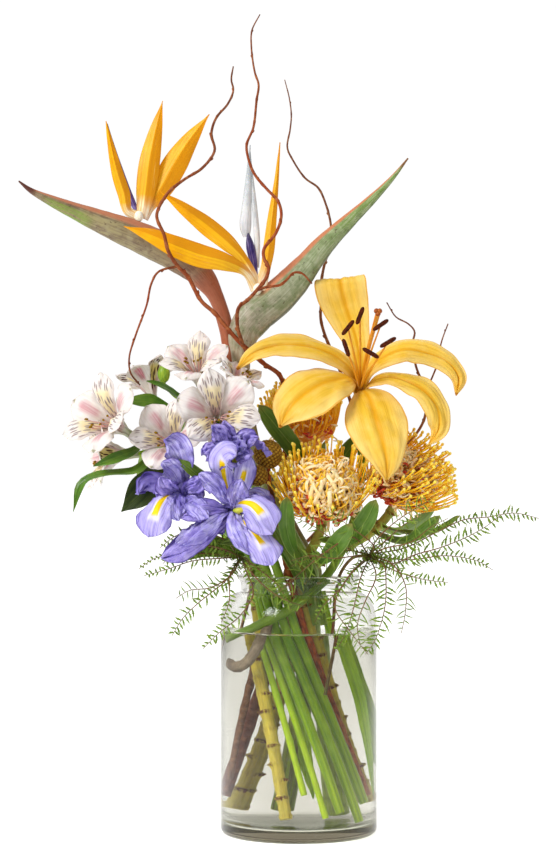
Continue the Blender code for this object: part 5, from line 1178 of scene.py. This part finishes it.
def headShapes(look, seed):
    middle = seen(*look["middle"])
    right, up, axis = localFrame(look["axis"], 0)
    core, reach = look["core"], look["reach"]
    room = reach - core
    draw = np.random.default_rng(seed)
    styles = []
    wool = [pebble(middle, core, 18, 28, paint=1, axis=axis, form=lambda run, turn: 1 + 0.02 * np.cos(9 * turn))]

    def direction(polar, turn):
        return axis * math.cos(polar) + (right * math.cos(turn) + up * math.sin(turn)) * math.sin(polar)

    pins = pinning["pins"]
    for k in range(pins):
        polar = math.acos(1 - pinning["cover"] * (k + 0.5) / pins)
        outward = direction(polar, k * goldenAngle)
        aside = unit(np.cross(outward, axis))
        root = middle + outward * core * 0.92
        if math.acos(float(np.clip(outward @ unit(look["closed"][0]), -1, 1))) < look["closed"][1]:
            # these styles are still held in loops
            flow = unit(np.cross(outward, np.cross((0.25, 0, 1), outward)))     # up along the head
            for _ in range(pinning["loops"]):
                beside = unit(np.cross(outward, flow)) * draw.uniform(-1, 1)
                loop = pinning["cream" if draw.uniform() < look["cream"] else "golden"]
                over = root - middle + flow * draw.uniform(*loop["climb"]) + beside * draw.uniform(2, 8)
                end = middle + unit(over) * (core + room * 0.2)
                line = bezier((root, root + (outward * draw.uniform(0.7, 1.3) - beside * 0.9) * room,
                               end + (outward * draw.uniform(0.6, 1.1) + beside * 0.8) * room, end), 22)
                thick = pinning["radius"] * draw.uniform(*loop["thick"])
                styles.append(tube([(*p, thick) for p in line], 8, seed=k, paint=loop["paint"],
                                   flat=loop["flat"]))
            continue
        lean = unit(outward + look["lean"] * axis + np.array(look["sweep"]) + aside * draw.uniform(-0.18, 0.18))
        tip = middle + lean * reach * pinning["longer"] * draw.uniform(0.8, 1)
        line = bezier((root, root + outward * room * 0.9, tip - unit(lean + 1.1 * axis) * room * 0.6, tip), 20)
        styles.append(tube([(*p, pinning["radius"] * w) for p, w in zip(line, pinning["style"])], 7, seed=k))
    for k in range(pinning["hairs"]):   # curled wool and red floret pockets between the styles
        polar = math.acos(1 - pinning["cover"] * (k + 0.5) / pinning["hairs"])
        outward = direction(polar, k * goldenAngle + 1.1)
        aside = unit(np.cross(outward, axis)) * draw.uniform(-1, 1) + axis * draw.uniform(-0.7, 0.7)
        root = middle + outward * core * 0.95
        red = draw.uniform(0, 1) < look["red"] * (polar - 0.35)
        if not red and draw.uniform(0, 1) > look["wool"]:
            continue
        length = room * (draw.uniform(0.35, 0.6) if red else draw.uniform(0.45, 0.95))
        line = bezier((root, root + outward * length * 1.2, root + (outward + aside) * length,
                       root + outward * length * 0.55 + aside * length * 0.9), 8)
        radius = pinning["pocket" if red else "hair"]
        wool.append(tube([(*p, r) for p, r in zip(line, radius)], 6, seed=k, paint=2 if red else 0, flat=0.6))
    return styles, wool


def buildPincushion(name):
    look = heads[name]
    styles, wool = headShapes(look, 11 + len(name))
    newPiece(name + "HeadStyles", styles, [pinSkin, loopSkin, woolSkin], "pincushion", f"pincushion_{name}_head")
    newPiece(name + "HeadWool", wool, [woolSkin, coreSkin, pocketSkin], "pincushion", f"pincushion_{name}_head")
    middle, axis = seen(*look["middle"]), unit(look["axis"])
    top = middle - axis * (look["core"] + 2 * gap)
    knots = rise("pincushion_" + name, top, axis, 3.4, pull=(15, 35))
    newPiece(name + "HeadStem", [tube(knots, 24, 260, form=knobs(0.5, 5))], [woodStem], "woody_stem",
             f"pincushion_{name}_stem")
    leaves = [leafSheet(knots, height, face, line, 110 + k, ruffle=0.4, thick=0.7, tip=0.26)
              for k, (height, face, line) in enumerate(look["leaves"])]
    newPiece(name + "HeadLeaves", leaves, [proteaLeaf], "green_stem", f"pincushion_{name}_stem")


for flower in heads:
    buildPincushion(flower)
print("pincushions made")


# Brown seed heads

seedBalls = {"heads": [((-23, -34, 284), 11), ((-31, -44, 268), 8)], "fork": (-22, -34, 262),
             "grain": 1.25, "packing": 3.25}
# each bead darkens towards its root and the ball beneath them towards its bottom: painted shade between the beads
seedSkin = tissue("dry seed grains", {                    # golden brown beads, darker between them
    "stops": [(0, "#4c2c08"), (0.45, "#8c5c14"), (1, "#c49a34")], "streak": ("#6c4410", 0.6, 2, 0.5),
    "patch": ("#7c5c14", 4, 0.6), "rough": 0.6, "relief": 0.15})
rustStem = tissue("rust-coloured woody stem", {           # dark pits along a red brown stem
    "stops": [(0, "#c46c34"), (0.5, "#b4501c"), (1, "#5a4018")], "streak": ("#4c200c", 1.6, 5, 0.8),
    "patch": ("#c47c44", 5, 0.5), "rough": 0.6, "relief": 0.35})


def buildSeedHeads():
    top = seen(*seedBalls["fork"])
    knots = rise("berry", top, (-0.2, -0.2, 1), 1.8)
    wood = [tube(knots, 14, form=bark(13, 0.14, 8))]
    seeds = []
    for place, radius in seedBalls["heads"]:
        middle = seen(*place)
        wood.append(tube([(*top, 1.5), (*middle, 1.5)], 10, 10))
        inner = radius - seedBalls["grain"] * 0.8
        seeds.append(pebble(middle, inner, 14, 20))
        count = int(seedBalls["packing"] * (inner / seedBalls["grain"]) ** 2)
        for k in range(count):
            z = 1 - 2 * (k + 0.5) / count
            level = math.sqrt(1 - z * z)
            out = np.array((level * math.cos(k * goldenAngle), level * math.sin(k * goldenAngle), z))
            seeds.append(pebble(middle + out * inner, seedBalls["grain"], 5, 7, seed=k, axis=out, stretch=0.8))
    newPiece("seedStem", wood, [rustStem], "woody_stem", "berry_stem")
    newPiece("seedHeads", seeds, [seedSkin], "seed", "berry_stem")
    print("seed heads made")


buildSeedHeads()


# Corkscrew willow

willowLines = {   # x, depth, z, radius: first the shoot that stands in the vase, then its branches
    "willow_left": [
        [(-8, 14, 238, 2.6), (-10, 5, 272, 2.3), (-10, 0, 300, 2.2), (-10, -3, 326, 2.1), (-14, -6, 343, 2),
         (-26, -10, 352, 2), (-42, -15, 366, 2), (-55, -16, 380, 1.9), (-63, -17, 390, 1.9), (-73, -17, 399, 1.8),
         (-83, -16, 417, 1.8), (-90.5, -20, 425, 1.7), (-98, -33, 437, 1.6), (-101, -37, 449, 1.5),
         (-106, -38, 460, 1.4), (-106, -36, 466, 1.4), (-98, -34, 480, 1.4), (-86, -30, 490, 1.3),
         (-72, -26, 499, 1.3), (-63, -24, 512, 1.2), (-65.5, -24, 524, 1.2), (-62, -24, 536, 1.1),
         (-53, -24, 547, 1), (-49, -24, 557, 0.9), (-50.5, -24, 565, 0.8), (-49, -24, 575, 0.6)],
        [(-42, -18, 366, 1.7), (-46, -19, 381, 1.6), (-45, -19, 394, 1.6), (-38, -17, 400, 1.6),
         (-31.5, -17, 407, 1.6), (-24.5, -19, 416, 1.6), (-22.5, -20, 424, 1.5), (-26, -20, 431, 1.5),
         (-26, -19, 438, 1.5), (-17, -18, 450, 1.4), (-13, -17, 463, 1.4), (-15.5, -16, 474, 1.3),
         (-23, -15, 482, 1.3), (-33, -13, 494, 1.3), (-37.5, -12, 505, 1.2), (-39, -12, 516, 1.2),
         (-34, -12, 529, 1.1), (-31.5, -12, 550, 1.1), (-30, -12, 561, 1), (-33, -12, 571, 0.9),
         (-35.5, -12, 590, 0.8), (-35, -12, 602, 0.7), (-29, -12, 614, 0.5)],
        [(-31.5, -17, 407, 1.3), (-24, -18, 409.5, 1.2), (-14, -17, 411, 1.2), (-9, -14, 415, 1.2),
         (-4, -13, 420, 1.1), (2, -13, 420, 1), (10, -13, 412, 0.8)],
        [(-90.5, -20, 425, 1.1), (-105, -22, 421, 1), (-110.5, -22, 412, 1), (-114, -20, 396, 0.9),
         (-122, -18, 374, 0.9), (-127, -14, 357, 0.8), (-126, -8, 345, 0.8), (-119, 0, 336, 0.7)]],
    "willow_back": [
        [(32, 52, 256, 2), (43, 47, 300, 1.9), (32, 38, 344, 1.8), (19.5, 32, 374, 1.7),
         (16.5, 30, 386, 1.6), (17, 29, 400, 1.6), (17, 29, 413, 1.6), (19, 29, 425, 1.5),
         (24, 29, 443, 1.4), (24, 29, 457, 1.3), (19.5, 28, 474, 1.2), (14.5, 27, 484, 1.2),
         (5, 26, 491, 1.1), (-4, 25, 504, 1), (-8.5, 24, 514, 1), (-6.5, 24, 527, 0.9),
         (-5.5, 24, 538, 0.8), (-7, 24, 551, 0.7), (-10.5, 24, 565, 0.5)],
        [(32, 52, 256, 1.6), (54, 50, 268, 1.6), (80, 46, 290, 1.6), (94, 34, 310, 1.5), (95, 28, 330, 1.4),
         (88, 24, 350, 1.3), (85, 22, 366, 1.2), (87, 22, 376, 1), (82, 22, 382, 0.9), (73, 22, 387, 0.8),
         (66, 22, 398, 0.6)],
        [(95, 28, 330, 1.1), (104, 24, 352, 0.9), (107, 22, 368, 0.8), (112, 22, 382, 0.6)]],
}
# a cut curl of twig lies in the water just behind the glass
curledEnd = [(-22, -21, 163, 3.4), (-24, -29, 153, 3.8), (-29, -33, 141, 4), (-36, -32, 131, 4),
             (-43, -25, 127, 4), (-47, -15, 129, 4)]
barkSkin = tissue("rust brown willow bark", {             # red brown where the sun tanned it, with pale pores
    "stops": [(0, "#69371b"), (0.35, "#99401b"), (0.8, "#8c4622"), (1, "#673c26")],
    "streak": ("#57210b", 0.7, 12, 0.55), "patch": ("#bf7848", 4, 0.5), "rough": 0.55, "relief": 0.25})
soakedBark = tissue("soaked grey brown bark", {           # swollen and dull after days in the water
    "stops": [(0, "#7c6a54"), (0.5, "#8c7a68"), (1, "#6c5a4c")], "streak": ("#4c3c30", 1, 10, 0.5),
    "patch": ("#a89884", 5, 0.5), "rough": 0.6, "relief": 0.3})
darkBark = tissue("dark willow bark", {
    "stops": [(0, "#6c452a"), (0.4, "#905430"), (1, "#6c3c28")], "streak": ("#4c2818", 0.7, 12, 0.5),
    "patch": ("#b88458", 4, 0.5), "rough": 0.58, "relief": 0.25})


budding = {"above": 250, "first": 12, "spacing": 19, "last": 3}      # mm: buds stand on the free part of each shoot


def buildWillow(name, skin, slim):
    lines = willowLines[name]
    shoot = placed(lines[0])
    ahead = np.array(shoot[1][:3]) - np.array(shoot[0][:3])
    whole = rise(name, shoot[0][:3], ahead, shoot[0][3], steps=12)[:-1] + smooth(shoot, 8 * len(shoot)).tolist()
    runs = [whole] + [smooth(placed(line), 8 * len(line)).tolist() for line in lines[1:]]
    shapes = []
    for k, run in enumerate(runs):
        run = [(x, y, z, r * (slim if z > binding["rim"] + 5 else 1)) for x, y, z, r in run]
        shapes.append(tube(run, 12, seed=k, form=bark(17, 0.2, k + 3)))
        line = np.array(run)
        above = line[line[:, 2] > budding["above"]]
        at = lengths(above[:, :3])
        draw = np.random.default_rng(k + 70)
        for place in np.arange(budding["first"], at[-1] - budding["last"], budding["spacing"]):
            spot = np.array([np.interp(place, at, above[:, j]) for j in range(4)])
            ahead = unit([np.interp(place + 2, at, above[:, j]) - spot[j] for j in range(3)])
            out = unit(np.cross(ahead, draw.normal(size=3)))
            shapes.append(pebble(spot[:3] + out * spot[3] * 0.8, 0.35 + spot[3] * 0.45, 6, 8,
                                 axis=ahead + out * 0.5, stretch=2.2))
    if name == "willow_left":
        shapes.append(tube(smooth(curledEnd, 60), 16, paint=1, form=bark(11, 0.12, 9)))
    newPiece(name + "Branches", shapes, [skin, soakedBark], "bark", name)


buildWillow("willow_left", barkSkin, 0.84)
buildWillow("willow_back", darkBark, 0.7)
print("willow made")


# Fern sprays over the rim

fernLines = {
    "fern_right": {
        "stem": [(18, -36, 104, 1.2), (25, -26, 150, 1.2), (29, -19, 189, 1.2), (40, -29, 206, 1.2),
                 (54, -44, 208, 1.1)],
        "fronds": [   # the frond's line, with the length of its leaflets
            [(53, -43, 207, 5), (70, -56, 202, 9), (88, -60, 209, 11), (106, -62, 214, 10), (126, -60, 222, 9),
             (142, -56, 231, 7), (152, -54, 239, 3)],
            [(53, -43, 209, 4), (80, -50, 214, 5), (104, -52, 226, 6), (124, -48, 235, 6), (142, -44, 237, 7),
             (162, -40, 240, 7), (180, -38, 236, 3)],
            [(53, -43, 207, 4), (64, -58, 201, 8), (65.5, -66, 188, 10), (65, -68, 172, 11), (62, -68, 158, 10),
             (57, -68, 144, 8), (50, -67, 134, 4)],
            [(53, -43, 207, 3), (74, -60, 196, 5), (95, -64, 190, 6), (112, -64, 188, 4)],
            [(53, -43, 208, 3), (40, -62, 196, 4), (30, -66, 182, 5), (18, -66, 170, 5), (12, -66, 158, 3)],
            [(53, -43, 207, 3), (46, -60, 190, 5), (42, -66, 172, 6), (36, -67, 152, 6), (28, -66, 136, 3)],
            [(53, -43, 209, 3), (66, -56, 220, 5), (80, -60, 232, 5), (92, -62, 238, 3)],
            [(53, -43, 209, 3), (34, -56, 212, 4), (12, -62, 208, 4), (-6, -64, 200, 2)],
            [(53, -43, 208, 3), (84, -58, 205, 6), (110, -62, 208, 6), (134, -60, 204, 5), (146, -58, 197, 2)]]},
    "fern_left": {
        "stem": [(-49, 12, 118, 1.2), (-44, 2, 150, 1.2), (-37, -8, 176, 1.2), (-34, -15, 190, 1.2),
                 (-38, -27, 204, 1.2), (-44, -44, 207, 1.1)],
        "fronds": [
            [(-43, -42, 206, 4), (-48, -56, 198, 7), (-56, -64, 188, 8), (-66, -66, 180, 8), (-77, -66, 171, 8),
             (-87, -65, 161, 8), (-95, -64, 148, 4)],
            [(-44, -44, 207, 3), (-60, -62, 206, 6), (-80, -68, 204, 7), (-98, -70, 198, 6), (-116, -70, 193, 3)],
            [(-43, -42, 207, 3), (-40, -60, 198, 4), (-34, -68, 180, 5), (-44, -72, 163, 8), (-60, -73, 150, 7),
             (-72, -72, 138, 3)],
            [(-44, -44, 207, 2), (-62, -60, 209, 3), (-88, -66, 210, 4), (-108, -68, 206, 3), (-120, -68, 198, 2)],
            [(-44, -44, 207, 2), (-30, -60, 198, 4), (-14, -66, 184, 5), (-6, -66, 168, 3)],
            [(-44, -44, 208, 2), (-66, -56, 214, 4), (-84, -58, 216, 4), (-100, -58, 212, 2)],
            [(-44, -44, 206, 2), (-52, -62, 192, 5), (-52, -68, 174, 6), (-58, -69, 158, 3)],
            [(-44, -44, 207, 3), (-56, -54, 220, 7), (-72, -58, 226, 8), (-90, -60, 224, 7), (-104, -60, 214, 3)],
            [(-44, -44, 207, 3), (-54, -58, 212, 7), (-72, -64, 216, 8), (-90, -66, 212, 6), (-102, -66, 202, 3)]]},
}
fernTwigs = {   # thin twigs with long bare needles, which cross the neck of the vase
    "fern_right": [
        [(53, -43, 208, 3), (40, -62, 222, 9), (22, -67, 212, 13), (2, -68, 196, 13), (-20, -68, 176, 6)],
        [(53, -43, 207, 3), (36, -62, 190, 9), (27, -67, 170, 11), (38, -69, 152, 12), (52, -69, 134, 6)],
        [(53, -43, 208, 3), (70, -60, 202, 9), (80, -66, 186, 10), (80, -66, 166, 9), (77, -66, 150, 4)],
        [(53, -43, 209, 3), (60, -60, 222, 9), (76, -66, 236, 12), (92, -64, 246, 9), (100, -62, 251, 3)],
        [(53, -43, 208, 3), (36, -58, 214, 9), (20, -64, 224, 11), (8, -66, 232, 8), (-2, -66, 236, 3)],
        [(53, -43, 207, 3), (58, -62, 192, 9), (50, -68, 174, 11), (44, -69, 156, 9), (46, -69, 142, 4)],
        [(53, -43, 208, 4), (56, -60, 216, 10), (44, -68, 226, 12), (30, -70, 236, 10), (22, -70, 242, 4)],
        [(53, -43, 208, 4), (66, -58, 214, 10), (84, -64, 218, 12), (100, -66, 230, 10), (112, -66, 236, 4)],
        [(53, -43, 207, 4), (44, -60, 208, 10), (26, -68, 206, 12), (8, -70, 208, 10), (-6, -68, 204, 4)]],
    "fern_left": [
        [(-44, -44, 207, 3), (-36, -62, 196, 9), (-22, -69, 182, 11), (-8, -70, 174, 9), (4, -70, 170, 4)],
        [(-44, -44, 207, 3), (-50, -60, 194, 9), (-66, -66, 184, 11), (-82, -68, 182, 9), (-92, -68, 176, 4)]],
}
leafletForms = {   # mm between leaflets, their width, the lobes along one; and for all of them:
    "frond": {"step": 3.3, "width": 2.1, "teeth": 4}, "twig": {"step": 4.2, "width": 0.9, "teeth": 0},
    "thick": 0.3, "missing": 0.12, "midrib": (0.65, 0.25)}
fernSkin = tissue("thin fern leaflet", {                  # olive green, paler below, browned at the tips
    "stops": [(0, "#56741c"), (0.6, "#6e8e24"), (1, "#8c9440")], "streak": ("#405c1a", 0.6, 5, 0.5),
    "patch": ("#9cb048", 6, 0.5), "rib": ("#3f5a1c", 0.2, 0.5), "back": ("#7f9450", 0.5), "rough": 0.5,
    "relief": 0.12, "glow": 0.08, "shine": 0.3})
wirySkin = tissue("wiry fern midrib", {
    "stops": [(0, "#5c5a28"), (0.4, "#7a4a30"), (1, "#7c6a3c")], "streak": ("#4a3020", 0.5, 12, 0.5),
    "patch": ("#94804c", 5, 0.4), "rough": 0.5, "relief": 0.08})


def frondShapes(knots, face, seed, kind):
    form = leafletForms[kind]
    knots = np.array(placed(knots))
    count = int(lengths(knots[:, :3])[-1] / form["step"])
    line = smooth(knots, count + 1)
    centre, reach = line[:, :3], line[:, 3]
    tangent = unit(np.gradient(centre, axis=0))
    side = unit(np.cross(tangent, np.array(face, float)))
    out = unit(np.cross(side, tangent))
    taper = np.linspace(*leafletForms["midrib"], count + 1)
    shapes = [tube([(*p, r) for p, r in zip(centre, taper)], 6, paint=1)]
    draw = np.random.default_rng(seed)
    for k in range(1, count):
        for sign in (-1, 1):
            if draw.uniform() < leafletForms["missing"]:
                continue
            length = reach[k] * draw.uniform(0.6, 1)
            ahead = unit(side[k] * sign + tangent[k] * draw.uniform(0.1, 0.6) - out[k] * draw.uniform(-0.5, 0.6))
            root = centre[k] + tangent[k] * sign * 0.6
            droop = (tangent[k] * draw.uniform(-0.35, 0.5) - out[k] * draw.uniform(-0.2, 0.3)) * length
            points = [(*(root + ahead * length * t + droop * t * t), form["width"] * w)
                      for t, w in ((0, 0.45), (0.35, 1), (0.7, 0.85), (1, 0.3))]
            shapes.append(petal(points, face=out[k] + ahead * 0.1, seed=seed + k, rows=10, columns=4, cup=0.2,
                                tip=0.3, thick=leafletForms["thick"], teeth=form["teeth"], bite=0.5,
                                twist=draw.uniform(-1.2, 1.2)))
    return shapes


def buildFern(name):
    shapes = [tube(placed(fernLines[name]["stem"]), 8, 40, paint=1)]
    for kind, seed, lines in (("frond", 200, fernLines[name]["fronds"]), ("twig", 500, fernTwigs[name])):
        for k, knots in enumerate(lines):
            shapes += frondShapes(knots, (0, -1, 0.3), seed + 10 * k, kind)
    newPiece(name + "Fronds", shapes, [fernSkin, wirySkin], "fern", name)


for spray in fernLines:
    buildFern(spray)
print("ferns made")


# The stage: a plain pale floor, a pale room and one soft light from the upper left

studio = {"floor": 24, "below": 0.0003, "glow": 0.6, "behind": 1.02, "front": 0.57, "room": (0.15, 0.93),
          "keyPower": 45, "keySize": 0.9, "keyPlace": (-1.5, -1.3, 1.7), "keyAim": (0, 0, 0.3),
          "near": "#eeeeec", "nearFade": (-0.7, -0.2), "side": "#f2f2f0", "sideFade": (0.3, 1), "slant": -0.3}


def floorMaterial():
    # opal acrylic lit from below, so the floor runs out into the room without an edge; it is plain and unlit
    # towards the camera and far out at the sides, where the glass bends its view
    made, tree, shader = newMaterial("opal acrylic table")
    place = addNode(tree, "TexCoord").outputs["Object"]
    grain = addNode(tree, "TexNoise", {"Scale": 1 / (40 * mm), "Detail": 3, "Vector": place})
    tone = addNode(tree, "Mix", {**mixing, 0: grain, 6: linear("#fdfdfd"), 7: linear("#ffffff")})
    across, forward, _ = addNode(tree, "SeparateXYZ", {0: place}).outputs
    near = addNode(tree, "MapRange", {0: forward, **soft, **span(*studio["nearFade"])})
    apart = addNode(tree, "Math", {"operation": "ABSOLUTE", 0: across})
    slant = addNode(tree, "Math", {"operation": "MULTIPLY_ADD", 0: forward, 1: studio["slant"], 2: apart})
    lit = addNode(tree, "MapRange", {0: slant, **soft, **span(*studio["sideFade"], 1, 0)})
    middle = addNode(tree, "Mix", {**mixing, 0: near, 6: linear(studio["near"]), 7: tone.outputs[2]})
    shaded = addNode(tree, "Mix", {**mixing, 0: lit, 6: linear(studio["side"]), 7: middle.outputs[2]})
    setNode(tree, shader, {
        "Base Color": shaded.outputs[2], "Roughness": 1, "Specular IOR Level": 0,
        "Emission Color": linear("#ffffff"), "Emission Strength": both(tree, near, lit, studio["glow"])})
    return made


def buildStage():
    half, below = studio["floor"] / 2, -studio["below"]
    mesh = bpy.data.meshes.new("studioFloor")
    mesh.from_pydata([(-half, -half, below), (half, -half, below), (half, half, below), (-half, half, below)],
                     [], [(0, 1, 2, 3)])
    mesh.materials.append(floorMaterial())
    inScene("studioFloor", mesh)
    world = bpy.data.worlds.new("pale room")
    world.use_nodes = True
    tree = world.node_tree
    toward = addNode(tree, "TexCoord").outputs["Generated"]
    depth = addNode(tree, "SeparateXYZ", {0: toward}).outputs[1]
    strength = addNode(tree, "MapRange", {
        0: depth, **soft, **span(*studio["room"], studio["front"], studio["behind"])})
    setNode(tree, tree.nodes["Background"], {"Color": linear("#ffffff"), "Strength": strength})
    bpy.context.scene.world = world
    key = bpy.data.lights.new("softKey", "AREA")
    key.energy, key.size = studio["keyPower"], studio["keySize"]
    lamp = inScene("softKey", key)
    lamp.location = studio["keyPlace"]
    lamp.rotation_euler = (Vector(studio["keyAim"]) - lamp.location).to_track_quat("-Z", "Y").to_euler()
    bpy.context.scene.view_settings.view_transform = "Standard"


view = {"lens": 111, "sensor": 36, "place": (-0.0155, -2, 0.3004)}    # 2 m in front, level, with a long lens


def buildCamera():
    made = bpy.data.cameras.new("camera")
    made.lens, made.sensor_width = view["lens"], view["sensor"]
    camera = inScene("camera", made)
    camera.location = view["place"]
    camera.rotation_euler = (math.radians(90), 0, 0)
    bpy.context.scene.camera = camera


buildStage()
buildCamera()
print("stage and camera ready")
